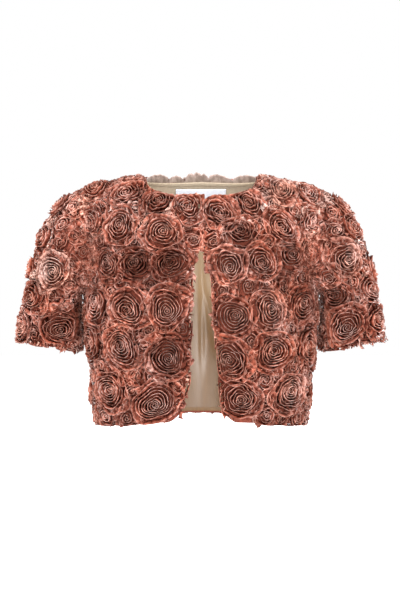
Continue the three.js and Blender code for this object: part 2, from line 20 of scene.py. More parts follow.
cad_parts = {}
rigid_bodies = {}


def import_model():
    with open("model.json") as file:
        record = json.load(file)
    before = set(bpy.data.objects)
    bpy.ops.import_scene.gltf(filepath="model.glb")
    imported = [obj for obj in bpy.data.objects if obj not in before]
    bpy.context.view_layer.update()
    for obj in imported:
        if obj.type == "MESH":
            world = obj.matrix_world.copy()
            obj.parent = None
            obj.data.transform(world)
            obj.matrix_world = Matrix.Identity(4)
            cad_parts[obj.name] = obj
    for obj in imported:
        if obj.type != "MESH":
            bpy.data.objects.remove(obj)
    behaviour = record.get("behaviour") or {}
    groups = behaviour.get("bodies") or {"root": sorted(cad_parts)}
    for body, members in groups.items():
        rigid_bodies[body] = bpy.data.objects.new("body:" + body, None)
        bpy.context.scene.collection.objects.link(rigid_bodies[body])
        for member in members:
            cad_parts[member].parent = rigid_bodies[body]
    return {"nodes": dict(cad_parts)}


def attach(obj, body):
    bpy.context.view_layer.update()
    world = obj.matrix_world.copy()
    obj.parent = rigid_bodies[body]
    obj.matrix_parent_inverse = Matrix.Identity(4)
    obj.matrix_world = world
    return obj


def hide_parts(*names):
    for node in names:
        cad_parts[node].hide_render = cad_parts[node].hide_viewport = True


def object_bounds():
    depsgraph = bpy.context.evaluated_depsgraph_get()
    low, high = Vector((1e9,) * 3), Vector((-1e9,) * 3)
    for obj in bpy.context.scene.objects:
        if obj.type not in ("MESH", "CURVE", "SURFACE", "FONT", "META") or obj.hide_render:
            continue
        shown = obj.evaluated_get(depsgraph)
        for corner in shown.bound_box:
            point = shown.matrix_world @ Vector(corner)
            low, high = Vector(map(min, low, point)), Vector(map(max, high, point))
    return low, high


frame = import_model()
cad_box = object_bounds()
print("nodes:", len(frame["nodes"]), "CAD box:", cad_box)

MM = 0.001

# %% [markdown]
# ## The body's form
#
# A worn bolero is a hollow form that closes over the shoulders. It could be sculpted, but
# then nothing would say where a seam or an edge lies. A formula does, so the body is a stack
# of ovals with the same numbers as the CAD. `level` runs from the hem (-1) by the underarm
# (0) to the shoulder seam (1), and `turn` from the middle of the front or back to the side.
# `half` is -1 for the fronts and 1 for the back, and `side` is 1 for the wearer's left.

# %% Sections of the body and the front edges
HEM_Z, HEM_DROP, UNDERARM_Z = -375.0, 9.0, -178.0
SHOULDER_SLOPE, SHOULDER_CURVE = 0.16, 0.0011
NECK_HALF_WIDTH = 94.0
NECK = {-1: {"depth": 76.0, "square": 3.0}, 1: {"depth": 60.0, "square": 2.3}}
RISE = {-1: 9.0, 1: 28.0}
FULLNESS = {-1: 1.0, 1: 0.85}
ARMHOLE_KEEP, ARMHOLE_ROUND = 0.852, 0.13
CUFF = {"x": 241.5, "y": 16.0, "z": -261.0, "half_width": 43.5, "half_depth": 58.0, "tilt": 0.15}

SECTIONS = {
    "level": [-1.0, -0.7, -0.4, -0.15, 0.0, 0.5, 1.0],
    "half_width": [161, 165, 173, 181, 184, 198, 230],
    -1: [104, 108, 113, 116, 117, 117, 117],
    1: [98, 99, 103, 107, 109, 111, 111],
}
FRONT_EDGES = {
    "level": [-1.0, -0.84, -0.65, -0.4, -0.1, 0.04, 0.15, 0.23, 0.4, 1.0],
    -1: [31, 27, 18, 17, 15, 15, 11, 1.8, 1.7, 1.7],
    1: [35, 31, 28, 24, 19, 18, 9, 1.8, 1.7, 1.7],
}
print("body:", len(SECTIONS["level"]), "sections, front edges:", len(FRONT_EDGES["level"]), "points")

# %% Smooth curves through the tables
def column(table, name, at):
    """A smooth curve through one column of a table, without overshoot."""
    keys, values = np.array(table["level"], float), np.array(table[name], float)
    x = np.clip(at, keys[0], keys[-1])
    i = np.clip(np.searchsorted(keys, x, side="left") - 1, 0, len(keys) - 2)
    slopes = np.diff(values) / np.diff(keys)
    inner = slopes[:-1] * slopes[1:]
    mean = np.where(inner > 0, 2 * inner / np.where(inner > 0, slopes[:-1] + slopes[1:], 1), 0)
    ends = np.concatenate([[slopes[0]], mean, [slopes[-1]]])
    width = keys[i + 1] - keys[i]
    s = (x - keys[i]) / width
    return (
        values[i] * (1 + 2 * s) * (1 - s) ** 2
        + values[i + 1] * (3 - 2 * s) * s**2
        + width * s * (1 - s) * (ends[i] * (1 - s) - ends[i + 1] * s)
    )


def smoothstep(x, low, high):
    s = np.clip((np.asarray(x, float) - low) / (high - low), 0, 1)
    return s * s * (3 - 2 * s)


print("half width at the underarm:", float(column(SECTIONS, "half_width", 0.0)), "mm")

# %% The body's surface
def body(half, side, turn, level):
    """Points of the body's inner face."""
    turn, level = np.broadcast_arrays(np.asarray(turn, float), np.asarray(level, float))
    x = side * column(SECTIONS, "half_width", level) * np.sin(turn)
    y = half * column(SECTIONS, half, level) * np.cos(turn)
    low = UNDERARM_Z + (UNDERARM_Z - HEM_Z) * level - HEM_DROP * level**2 * np.sin(turn) ** 2
    out = np.abs(x) - NECK_HALF_WIDTH
    outside = -SHOULDER_SLOPE * out - SHOULDER_CURVE * out**2
    ridge = np.where(out > 0, outside, RISE[half] * (1 - (x / NECK_HALF_WIDTH) ** 2))
    arc = np.clip(level, 0, 1) * math.pi / 2
    high = UNDERARM_Z + (ridge - UNDERARM_Z) * np.sin(arc)
    closing = np.maximum(np.cos(arc), 0) ** FULLNESS[half]
    return np.stack([x, y * closing, np.where(level > 0, high, low)], axis=-1)


def side_turn(level):
    """The turn at which a panel ends: the side seam, and above the underarm the armhole."""
    above = ARMHOLE_KEEP + (1 - ARMHOLE_KEEP) * np.exp(-np.maximum(level, 0) / ARMHOLE_ROUND)
    return np.arcsin(above)


def panel_turn(half, side, across, level):
    """The turn of a strip of a panel, with strips drawn together towards the armhole."""
    start = 0.0
    if half < 0:
        start = np.arcsin(column(FRONT_EDGES, side, level) / column(SECTIONS, "half_width", level))
    eased = math.pi / 2 + (math.asin(ARMHOLE_KEEP) - math.pi / 2) * smoothstep(level, -0.35, 0.7)
    end = eased + (side_turn(level) - eased) * across**3
    return start + (end - start) * across


print("shoulder's tip:", body(-1, 1, side_turn(1.0), 1.0).round(1), "mm")

# %% Where a strip ends and where a height lies
def top_level(half, side, across):
    """The level at which a strip of a panel ends: at the neckline or the shoulder seam."""
    across = np.asarray(across, float)
    low, high = np.full(across.shape, 0.2), np.ones(across.shape)

    def outside(level):
        p = body(half, side, panel_turn(half, side, across, level), level)
        x, y = np.abs(p[..., 0]) / NECK_HALF_WIDTH, np.abs(p[..., 1]) / NECK[half]["depth"]
        return x ** NECK[half]["square"] + y ** NECK[half]["square"] > 1

    whole = outside(high - 1e-6)
    for _ in range(40):
        middle = (low + high) / 2
        out = outside(middle)
        low, high = np.where(out, middle, low), np.where(out, high, middle)
    return np.where(whole, 1.0, low)


def level_of_height(half, side, turn, z):
    """The level at which the body has a given height."""
    low, high = np.full(np.shape(turn), -1.06), np.ones(np.shape(turn))
    for _ in range(30):
        middle = (low + high) / 2
        under = body(half, side, turn, middle)[..., 2] < z
        low, high = np.where(under, middle, low), np.where(under, high, middle)
    return low


print("back's neckline starts at level", float(top_level(1, 1, 0.0).round(3)))

# %% [markdown]
# ## The sleeves' form
#
# A set-in sleeve leaves the armhole and bends down to an oval cuff. A bent tube would miss
# the armhole's slanted curve, so each line of the sleeve is a smooth curve of its own from
# the armhole to the cuff. `ring` runs from the shoulder's tip (0) down the front to the
# underarm (1) and up the back (2), and `along` from the armhole (0) to the cuff (1).

# %% Sleeve curves
ARMHOLE_SPACING = 1.6  # how the starts of the sleeve's lines are spread along the armhole
LEAVING_SPREAD, LEAVING_DROP = 0.25, 0.32  # their directions there, beside straight out
LEAVING_UNDER, LEAVING_TOP, ARRIVING = 0.36, 0.22, 0.44  # how far they keep a direction
PAST_CUFF = 1.3


def armhole(side, ring):
    ring = np.mod(np.asarray(ring, float), 2)
    front = ring <= 1
    level = np.where(front, 1 - ring, ring - 1) ** ARMHOLE_SPACING
    return np.where(
        front[..., None],
        body(-1, side, side_turn(level), level),
        body(1, side, side_turn(level), level),
    )


def sleeve(side, ring, along):
    ring, along = np.broadcast_arrays(np.asarray(ring, float), np.asarray(along, float))
    angle = np.mod(ring, 2) * math.pi
    start = armhole(side, ring)
    out = CUFF["half_width"] * np.cos(angle)
    back = -CUFF["half_depth"] * np.sin(angle)
    end = np.stack([side * (CUFF["x"] + out), CUFF["y"] + back, CUFF["z"] + CUFF["tilt"] * out], -1)
    reach = np.linalg.norm(end - start, axis=-1, keepdims=True)
    top = ((1 + np.cos(angle)) / 2)[..., None]
    spread = -LEAVING_SPREAD * np.sin(angle)
    leaving = np.stack([side + 0 * angle, spread, -LEAVING_DROP * top[..., 0]], -1)
    leaving /= np.linalg.norm(leaving, axis=-1, keepdims=True)
    arriving = np.array([side * CUFF["tilt"], 0, -1.0])
    arriving /= np.linalg.norm(arriving)
    one = start + leaving * reach * (LEAVING_UNDER + (LEAVING_TOP - LEAVING_UNDER) * top)
    two = end - arriving * reach * ARRIVING
    s = along[..., None]
    inside = (
        (1 - s) ** 3 * start
        + 3 * (1 - s) ** 2 * s * one
        + 3 * (1 - s) * s**2 * two
        + s**3 * end
    )
    return np.where(s > 1, end + arriving * reach * (s - 1) * PAST_CUFF, inside)


# %% Girths of armhole and cuff
def distances(places):
    """How far along a line each of its places lies."""
    steps = np.linalg.norm(np.diff(places, axis=0), axis=-1)
    return np.concatenate([[0], np.cumsum(steps)])


for name, along in (("armhole", 0), ("cuff", 1)):
    print(name, "round:", round(float(distances(sleeve(1, np.linspace(0, 2, 200), along))[-1])), "mm")

# %% [markdown]
# ## Helpers for meshes
#
# Cloth and ribbon are both sheets, and a sheet is a grid that was bent. The grid operator
# makes the faces, and a function of the grid's two shares moves each vertex to its place.
# A Solidify modifier gives the sheet its thickness, so that it has two faces and an edge.

# %% Grids
def collect(name, mesh):
    """An object at the origin for a mesh that holds its own place."""
    piece = bpy.data.objects.new(name, mesh)
    bpy.context.scene.collection.objects.link(piece)
    return piece


def grid_mesh(name, columns, rows):
    """A flat grid whose x and y run from 0 to 1, with its shares kept in a UV map."""
    bm = bmesh.new()
    bmesh.ops.create_grid(bm, x_segments=columns, y_segments=rows, size=0.5)
    bmesh.ops.translate(bm, vec=(0.5, 0.5, 0), verts=bm.verts)
    shares = bm.loops.layers.uv.new("ribbon")
    for face in bm.faces:
        face.smooth = True
        for loop in face.loops:
            loop[shares].uv = loop.vert.co.xy
    mesh = bpy.data.meshes.new(name)
    bm.to_mesh(mesh)
    bm.free()
    return mesh


def coordinates(mesh):
    flat = np.empty(3 * len(mesh.vertices))
    mesh.vertices.foreach_get("co", flat)
    return flat.reshape(-1, 3)


def pairs(first, second):
    """All pairs from two rows of numbers, as two flat arrays."""
    return [grid.ravel() for grid in np.meshgrid(first, second)]


def measure_cut(place, steps=70):
    """A sheet's places on a square grid, in metres; nothing of them is kept."""
    a, b = pairs(np.linspace(0, 1, steps), np.linspace(0, 1, steps))
    p = place(a, b).reshape(steps, steps, 3) * MM


# %% Sheets with a thickness
def sheet_piece(name, columns, rows, place, flipped=False):
    """A piece whose vertices place(a, b) puts, in millimetres."""
    measure_cut(place)
    mesh = grid_mesh(name, columns, rows)
    share = coordinates(mesh)
    mesh.vertices.foreach_set("co", (place(share[:, 0], share[:, 1]) * MM).ravel())
    if flipped:
        mesh.flip_normals()
    mesh.update()
    return collect(name, mesh)


def thicken(piece, thickness, offset=1.0):
    """Thickness in millimetres, outwards, or on both sides with an offset of 0."""
    solid = piece.modifiers.new("thickness", "SOLIDIFY")
    solid.thickness = thickness * MM
    solid.offset = offset
    return piece


def belongs(piece, node):
    """What a piece moves with, and the node it stands for, which is hidden."""
    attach(piece, "root")
    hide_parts(node)


# %% [markdown]
# ## Finishes
#
# Cloth, ribbon and wire differ in colour, roughness and pattern. Pictures could be laid on
# them, but would blur close up. So every finish is a Principled shader whose colour comes
# from ramps and noise, and a few helpers keep each recipe short.

# %% Colours and nodes
def linear(red, green, blue):
    """sRGB numbers from 0 to 255 as linear colour."""
    return tuple(
        v / 12.92 if v <= 0.04045 else ((v + 0.055) / 1.055) ** 2.4
        for v in (red / 255, green / 255, blue / 255)
    ) + (1.0,)


def grey(value):
    return (value, value, value, 1.0)


def new_material(name, rough, **sockets):
    material = bpy.data.materials.new(name)
    material.use_nodes = True
    nodes, links = material.node_tree.nodes, material.node_tree.links
    shader = nodes["Principled BSDF"]
    shader.inputs["Roughness"].default_value = rough
    for socket, value in sockets.items():
        shader.inputs[socket.replace("_", " ")].default_value = value
    return material, nodes, links, shader


def ramp(nodes, links, source, stops):
    node = nodes.new("ShaderNodeValToRGB")
    while len(node.color_ramp.elements) < len(stops):
        node.color_ramp.elements.new(0.5)
    for element, (place, colour) in zip(node.color_ramp.elements, stops):
        element.position = place
        element.color = colour
    links.new(source, node.inputs["Fac"])
    return node.outputs["Color"]


def mixed(nodes, links, mode, share, first, second):
    node = nodes.new("ShaderNodeMix")
    node.data_type = "RGBA"
    node.blend_type = mode
    for value, socket in ((share, 0), (first, 6), (second, 7)):
        if isinstance(value, (int, float, tuple)):
            node.inputs[socket].default_value = value
        else:
            links.new(value, node.inputs[socket])
    return node.outputs[2]


# %% Patterns and places in a finish
def patterned(nodes, links, vector, colour, scale, detail, stops):
    """A colour that a noise darkens and lightens between two stops."""
    node = nodes.new("ShaderNodeTexNoise")
    node.inputs["Scale"].default_value = scale
    node.inputs["Detail"].default_value = detail
    links.new(vector, node.inputs["Vector"])
    return mixed(
        nodes, links, "MULTIPLY", 1.0, colour, ramp(nodes, links, node.outputs["Fac"], stops)
    )


def grain(contrast):
    """Stops for a grain that darkens as much as it lightens."""
    return [(0.35, grey(1 - contrast)), (0.65, grey(1 + contrast))]


def ribbon_shares(nodes, links):
    """The share along a ribbon and the share up it, from its own UV map."""
    place = nodes.new("ShaderNodeUVMap")
    place.uv_map = "ribbon"
    split = nodes.new("ShaderNodeSeparateXYZ")
    links.new(place.outputs["UV"], split.inputs["Vector"])
    return split.outputs["X"], split.outputs["Y"]


def by_height(nodes, links, where, start, end, most=1.0):
    """A value that goes from 0 to most between two heights on the jacket, in metres."""
    split = nodes.new("ShaderNodeSeparateXYZ")
    links.new(where, split.inputs["Vector"])
    grow = nodes.new("ShaderNodeMapRange")
    for socket, value in (("From Min", start), ("From Max", end), ("To Max", most)):
        grow.inputs[socket].default_value = value
    links.new(split.outputs["Z"], grow.inputs["Value"])
    return grow.outputs["Result"]


# %% [markdown]
# ## The ribbon's taffeta
#
# The ribbon is copper rose on its side. Its foot is painted dark, a painted shade where the
# turns shade each other, and its top edge is pale, partly frayed fibre and partly a painted
# highlight. A pattern in space could not follow that edge, so the colour reads the ribbon's own
# UV map, whose Y is the height. The painted shade at the foot fades towards the shoulders,
# where more light falls between the turns. Clouds and short streaks of painted sheen and
# shade and changes of hue lie over it, and each rosette has a tone of its own, which painted
# light makes paler on the sleeves and shoulders.

# %% Colours of the ribbon
# Up the ribbon: painted shade at the foot, the copper rose side, and a painted highlight along the top
# edge, which is partly frayed fibre
RIBBON_SHADE_AND_SHEEN_HEIGHTS = [
    (0.0, linear(28, 3, 0)),
    (0.35, linear(80, 28, 17)),
    (0.66, linear(136, 76, 62)),
    (0.88, linear(156, 102, 88)),
    (1.0, linear(196, 160, 149)),
]
# Each rosette's tone is random, and raised by painted light where light falls on the sleeves and
# shoulders; a low tone darkens the ribbon, a high one mixes in the pale colour
RIBBON_TONES = [
    (0.0, linear(165, 150, 145)),
    (0.5, linear(228, 222, 220)),
    (1.0, linear(255, 255, 255)),
]
PALE_TONES, PALE_AND_LIT_COLOUR = [(0.72, grey(0)), (1.0, grey(0.75))], linear(226, 200, 188)
OUTER_TURNS, OUTER_COLOUR = [(0.2, grey(0)), (0.85, grey(0.5))], linear(146, 86, 70)
# Between these heights in metres the painted shade at the foot gives way, where more light falls
FOOT_SHADE_FADES = {"start": -0.2, "end": -0.1, "most": 0.52}
# The clouds and streaks paint the satin's sheen and shade and that of its fine crinkles; the hues are
# its own changes of colour
RIBBON_PATTERNS = {  # scale, detail, and the darkest and the palest stop
    "sheen_clouds": (38.0, 3.0, [(0.34, (0.6, 0.54, 0.52, 1)), (0.66, grey(1.2))]),
    "hues": (24.0, 1.0, [(0.36, (1.05, 0.92, 0.84, 1)), (0.64, (0.95, 1.02, 1.06, 1))]),
    "streaks": (170.0, 2.0, [(0.38, (0.4, 0.3, 0.27, 1)), (0.6, (1.3, 1.36, 1.38, 1))]),
}
print("ribbon:", len(RIBBON_SHADE_AND_SHEEN_HEIGHTS), "colours up its height and", len(RIBBON_PATTERNS), "patterns")

# %% Ribbon
def ribbon_material():
    material, nodes, links, shader = new_material(
        "ribbon_taffeta", 0.4, Specular_IOR_Level=0.06, Specular_Tint=(1.0, 0.8, 0.75, 1.0)
    )
    along, up = ribbon_shares(nodes, links)
    where = nodes.new("ShaderNodeTexCoord").outputs["Object"]
    raised = nodes.new("ShaderNodeMath")
    raised.operation = "MAXIMUM"
    links.new(up, raised.inputs[0])
    links.new(by_height(nodes, links, where, **FOOT_SHADE_FADES), raised.inputs[1])
    tone = nodes.new("ShaderNodeAttribute")
    tone.attribute_name = "tone"
    colour = ramp(nodes, links, raised.outputs["Value"], RIBBON_SHADE_AND_SHEEN_HEIGHTS)
    outer = ramp(nodes, links, along, OUTER_TURNS)
    colour = mixed(nodes, links, "MIX", outer, colour, OUTER_COLOUR)
    # Painted light: the tone that light raises mixes in the pale colour, which is also the colour of
    # frayed fibre
    pale = ramp(nodes, links, tone.outputs["Fac"], PALE_TONES)
    colour = mixed(nodes, links, "MIX", pale, colour, PALE_AND_LIT_COLOUR)
    shade = ramp(nodes, links, tone.outputs["Fac"], RIBBON_TONES)
    colour = mixed(nodes, links, "MULTIPLY", 1.0, colour, shade)
    for scale, detail, stops in RIBBON_PATTERNS.values():
        colour = patterned(nodes, links, where, colour, scale, detail, stops)
    links.new(colour, shader.inputs["Base Color"])
    return material


RIBBON = ribbon_material()
print(RIBBON.name, "with", len(RIBBON.node_tree.nodes), "nodes")

# %% [markdown]
# ## Net, label and wire
#
# Net is a dull open cloth, the label is a fine white satin and the hooks are dulled wire. A
# weave could be modelled thread by thread, but at this distance it shows as grain. So each
# has one colour with a noise of its own scale, and only the wire is metal.

# %% Net, label and wire
GRAIN_DETAIL = 3.0


def grained_material(name, colour, rough, scale, contrast, **sockets):
    material, nodes, links, shader = new_material(name, rough, **sockets)
    where = nodes.new("ShaderNodeTexCoord").outputs["Object"]
    grained = patterned(nodes, links, where, colour, scale, GRAIN_DETAIL, grain(contrast))
    links.new(grained, shader.inputs["Base Color"])
    return material


NET = grained_material("backing_net", linear(104, 52, 40), 0.9, 420.0, 0.3, Specular_IOR_Level=0.1)
LABEL = grained_material("white_satin", linear(222, 226, 234), 0.4, 300.0, 0.04)
STEEL = grained_material("dull_steel", linear(120, 115, 108), 0.35, 900.0, 0.2, Metallic=1.0)
print("grained:", NET.name, LABEL.name, STEEL.name)

# %% [markdown]
# ## The satin
#
# The lining is champagne satin. It is painted paler at the neck and browner towards the hem,
# a painted light and shade: light could make that change, but little of it reaches the inside,
# so a ramp over the height paints it. The threads run upright, and a noise that is drawn out
# along Z gives their streaks.

# %% Satin
# Painted light at the neck, turning to painted shade towards the hem
SATIN_LIGHT_AND_SHADE = [
    (0.0, linear(188, 173, 150)),
    (0.3, linear(168, 145, 117)),
    (0.5, linear(156, 128, 96)),
    (0.72, linear(136, 106, 74)),
    (1.0, linear(98, 72, 45)),
]
SATIN_FALL = {"start": 0.03, "end": -0.38}
STREAK_STRETCH, STREAK_SCALE, STREAK_CONTRAST = (1.0, 1.0, 0.08), 240.0, 0.05


def satin_material():
    material, nodes, links, shader = new_material("champagne_satin", 0.32, Specular_IOR_Level=0.3)
    where = nodes.new("ShaderNodeTexCoord").outputs["Object"]
    fall = by_height(nodes, links, where, **SATIN_FALL)
    drawn_out = nodes.new("ShaderNodeMapping")
    drawn_out.inputs["Scale"].default_value = STREAK_STRETCH
    links.new(where, drawn_out.inputs["Vector"])
    streaked = patterned(
        nodes,
        links,
        drawn_out.outputs["Vector"],
        ramp(nodes, links, fall, SATIN_LIGHT_AND_SHADE),
        STREAK_SCALE,
        GRAIN_DETAIL,
        grain(STREAK_CONTRAST),
    )
    links.new(streaked, shader.inputs["Base Color"])
    return material


SATIN = satin_material()
print(SATIN.name, "with", len(SATIN_LIGHT_AND_SHADE), "colours from neck to hem")

# %% [markdown]
# ## The petals' ribbon
#
# The petals are torn from a greyer ribbon with a pale pink edge, and painted shade darkens
# their creases. They could share the rosettes' finish, but are beige and duller. So theirs is
# a recipe of its own, with the same map of heights.

# %% Petal ribbon
PETAL_HEIGHTS = [
    (0.0, linear(112, 96, 84)),
    (0.5, linear(124, 108, 98)),
    (0.86, linear(134, 116, 108)),
    (1.0, linear(186, 166, 158)),
]
# Painted shade in the creases, and a little painted light on the ridges between them
CREASE_SHADE = {
    "scale": 130.0,
    "detail": 2.0,
    "stops": [(0.4, (0.72, 0.68, 0.65, 1)), (0.58, (1.1, 1.09, 1.08, 1))],
}


def petal_material():
    material, nodes, links, shader = new_material("torn_petal", 0.6, Specular_IOR_Level=0.3)
    _, up = ribbon_shares(nodes, links)
    where = nodes.new("ShaderNodeTexCoord").outputs["Object"]
    colour = ramp(nodes, links, up, PETAL_HEIGHTS)
    links.new(patterned(nodes, links, where, colour, **CREASE_SHADE), shader.inputs["Base Color"])
    return material


PETAL = petal_material()
print("materials:", len(bpy.data.materials))

# %% [markdown]
# ## Net shells
#
# The net carries the ribbon and shows between the rosettes and from inside. It could be the
# CAD wall itself, but that has the rosettes' domes. So each panel's net is a sheet on the
# CAD panel's inner face, from the middle to the side and from the hem to the neckline or
# the shoulder, and its thickness stands outwards.

# %% Panels
NET_THICK = 2.0
SEAM_GAP = 0.4
MERGE_WITHIN = 1e-5  # metres
EDGE_INSET = 0.008  # the share of a front's width that stays free along its edge
CORNER = {"width": 0.09, "height": 0.12, "rise": 0.036}  # its rounded lower corner


def front_name(side):
    return "front_right" if side < 0 else "front_left"


def sleeve_name(side):
    return "sleeve_right" if side < 0 else "sleeve_left"


def panel_points(half, side, a, b):
    """a goes from the middle to the side, b from the hem by the underarm (0.5) to the top."""
    top = top_level(half, side, a)
    level = np.where(b <= 0.5, 2 * b - 1, np.clip(2 * b - 1, 0, 1) ** (1 + 0.4 * a) * top)
    points = body(half, side, panel_turn(half, side, a, level), level)
    points[:, 1] += half * SEAM_GAP / 2
    return points


def add_panel(name, half, side, columns=48, rows=72):
    """A front, or the whole back, whose columns run from the wearer's right to the left."""

    def place(a, b):
        if half < 0:
            corner = np.clip(1 - a / CORNER["width"], 0, 1) ** 2
            corner = corner * np.clip(1 - b / CORNER["height"], 0, 1)
            a = EDGE_INSET + (1 - EDGE_INSET) * a
            return panel_points(half, side, a, b + CORNER["rise"] * corner)
        across = np.abs(2 * a - 1)
        left, right = panel_points(1, 1, across, b), panel_points(1, -1, across, b)
        return np.where((a < 0.5)[:, None], right, left)

    piece = sheet_piece(name, columns, rows, place, flipped=half < 0 and side < 0 or half > 0)
    return thicken(piece, NET_THICK)


# %% Sleeves and all nets
def add_sleeve(name, side, columns=72, rows=32):
    """A sleeve's grid goes once round, so its first and last columns are merged."""

    def place(a, b):
        points = sleeve(side, 2 * a, b)
        points[:, 0] += side * SEAM_GAP
        return points

    measure_cut(place)
    mesh = grid_mesh(name, columns, rows)
    share = coordinates(mesh)
    mesh.vertices.foreach_set("co", (place(share[:, 0], share[:, 1]) * MM).ravel())
    bm = bmesh.new()
    bm.from_mesh(mesh)
    bmesh.ops.remove_doubles(bm, verts=bm.verts, dist=MERGE_WITHIN)
    bm.to_mesh(mesh)
    bm.free()
    if side < 0:
        mesh.flip_normals()
    return thicken(collect(name, mesh), NET_THICK)


nets = {
    "front_right": add_panel("front_right_net", -1, -1),
    "front_left": add_panel("front_left_net", -1, 1),
    "back": add_panel("back_net", 1, 0, columns=96),
    "sleeve_right": add_sleeve("sleeve_right_net", -1),
    "sleeve_left": add_sleeve("sleeve_left_net", 1),
}
for node, net in nets.items():
    net.data.materials.append(NET)
    belongs(net, node)
print("nets:", {node: len(net.data.polygons) for node, net in nets.items()}, "faces")

# %% [markdown]
# ## Carriers and edges
#
# A sewn ribbon follows the cloth below it. A Shrinkwrap modifier could press it on, but
# would crush its turns. A carrier is the cloth's surface continued past its edges, kept only
# for measuring: it tells the foot and the upright direction below any place. Edge points
# say how far a ribbon may reach over.

# %% A carrier
NEAR_WEIGHT = 0.05  # keeps the weight of a corner that a place lies on within bounds


class Carrier:
    """Patches of surface with outward normals, for placing ribbon."""

    def __init__(self):
        self.points, self.normals, self.faces = [], [], []

    def add(self, points, centre):
        """points is a grid of places, and centre a function of them that lies inside."""
        along, across = np.gradient(points, axis=0), np.gradient(points, axis=1)
        normals = np.cross(along, across)
        normals /= np.maximum(np.linalg.norm(normals, axis=-1, keepdims=True), 1e-9)
        outward = ((points - centre(points)) * normals).sum(-1, keepdims=True)
        normals = np.where(outward < 0, -normals, normals)
        rows, columns = points.shape[:2]
        first = sum(len(p) for p in self.points)
        self.points.append(points.reshape(-1, 3))
        self.normals.append(normals.reshape(-1, 3))
        index = first + np.arange(rows * columns).reshape(rows, columns)
        quads = np.stack([index[:-1, :-1], index[1:, :-1], index[1:, 1:], index[:-1, 1:]], -1)
        self.faces += quads.reshape(-1, 4).tolist()

    def close(self):
        self.points, self.normals = np.concatenate(self.points), np.concatenate(self.normals)
        self.tree = BVHTree.FromPolygons([Vector(p) for p in self.points], self.faces)
        return self

    def nearest(self, places):
        """Feet and outward normals below some places."""
        feet, ups = np.empty_like(places), np.empty_like(places)
        for k, place in enumerate(places):
            foot, _, face, _ = self.tree.find_nearest(Vector(place))
            corners = self.faces[face]
            gaps = self.points[corners] - np.array(foot)
            weights = 1 / (np.einsum("ij,ij->i", gaps, gaps) + NEAR_WEIGHT)
            up = weights @ self.normals[corners]
            feet[k], ups[k] = foot, up / np.linalg.norm(up)
        return feet, ups


# %% Carriers of body and sleeves
PAST_HEM, BEFORE_SEAM, PAST_SLEEVE = -1.08, 0.997, 1.12
CHEST_Z = -120


def inside_body(points):
    """Places inside the body, from which its surface faces away."""
    x, z = points[..., 0], points[..., 2]
    return np.stack([0.3 * x, 0 * x, np.minimum(z, CHEST_Z)], -1)


torso = Carrier()
turns, levels = np.meshgrid(np.linspace(0, math.pi / 2, 80), np.linspace(PAST_HEM, BEFORE_SEAM, 120))
for half in (-1, 1):
    for side in (-1, 1):
        torso.add(body(half, side, turns, levels), inside_body)
carriers = {"body": torso.close()}
rings, alongs = np.meshgrid(np.linspace(0, 2, 130), np.linspace(0, PAST_SLEEVE, 60))
for side in (-1, 1):
    arm = Carrier()
    arm.add(sleeve(side, rings, alongs), lambda p: p.mean(axis=1, keepdims=True) + 0 * p)
    carriers[sleeve_name(side)] = arm.close()
print("carrier points:", {name: len(c.points) for name, c in carriers.items()})

# %% A border
BEYOND_SHARE = 0.75  # what lies more beside an end than across it is beyond it
FAR_INSIDE = -1e3


class Border:
    """One edge of the cloth, with the direction out of the cloth at each of its points."""

    def __init__(self, places, inner, reach, soft, open_ended=False):
        self.places, self.reach, self.soft = places, reach, soft
        self.open_ended = open_ended
        along = np.gradient(places, axis=0)
        along /= np.linalg.norm(along, axis=-1, keepdims=True)
        away = places - inner
        away -= (away * along).sum(-1, keepdims=True) * along
        self.away = away / np.linalg.norm(away, axis=-1, keepdims=True)
        self.tree = kdtree.KDTree(len(places))
        for k, place in enumerate(places):
            self.tree.insert(Vector(place), k)
        self.tree.balance()

    def held_back(self, places, inset=0.0):
        """The same places, softly kept from reaching further past this edge than it lets."""
        nearest = np.array([self.tree.find(Vector(p))[1] for p in places])
        from_edge = places - self.places[nearest]
        past = (from_edge * self.away[nearest]).sum(-1)
        if self.open_ended:  # what lies beyond its ends is free
            beyond = np.abs(past) < BEYOND_SHARE * np.linalg.norm(from_edge, axis=-1)
            past = np.where(beyond, FAR_INSIDE, past)
        start = self.reach - self.soft - inset
        over = np.maximum(past - start, 0)
        kept = start + self.soft * (1 - np.exp(-over / self.soft))
        return places + self.away[nearest] * np.where(past > start, kept - past, 0)[:, None]


# %% Lines along the panels' edges
def panel_borders(half, side):
    """The hem, the neckline's places, the armhole and the edge, with lines just inside."""
    share = np.linspace(0, 1, 90)

    def at(a, b):
        return panel_points(half, side, np.asarray(a) + 0 * share, np.asarray(b) + 0 * share)

    hem = at(share, 0), at(share, 0.01)
    top = at(share, 1)
    neckline = top[np.abs(top[:, 0]) < NECK_HALF_WIDTH - 0.1]
    level = np.linspace(0, 1, 60)
    armhole_edge = (
        body(half, side, side_turn(level), level),
        body(half, side, side_turn(level) - 0.02, level),
    )
    return hem, neckline, armhole_edge, (at(0, share), at(0.02, share))


edges_of = {(half, side): panel_borders(half, side) for half in (-1, 1) for side in (-1, 1)}


def neck_loop():
    """The neckline from the right front's edge round the back, and the cloth just outside it."""
    ends = []
    for side in (-1, 1):
        front, back = edges_of[-1, side][1], edges_of[1, side][1]
        ends.append(np.concatenate([front, back[::-1]]))
    places = np.concatenate([ends[0], ends[1][::-1]])
    steps = np.linalg.norm(np.diff(places, axis=0), axis=-1)
    places = places[np.concatenate([[True], steps > 0.3])]
    _, ups = carriers["body"].nearest(places)
    out = np.cross(np.gradient(places, axis=0), ups)
    out *= np.sign((out * places * [1, 1, 0]).sum(-1, keepdims=True))
    return places, places + out


round_neck = neck_loop()
print("neckline round:", round(float(distances(round_neck[0])[-1])), "mm")

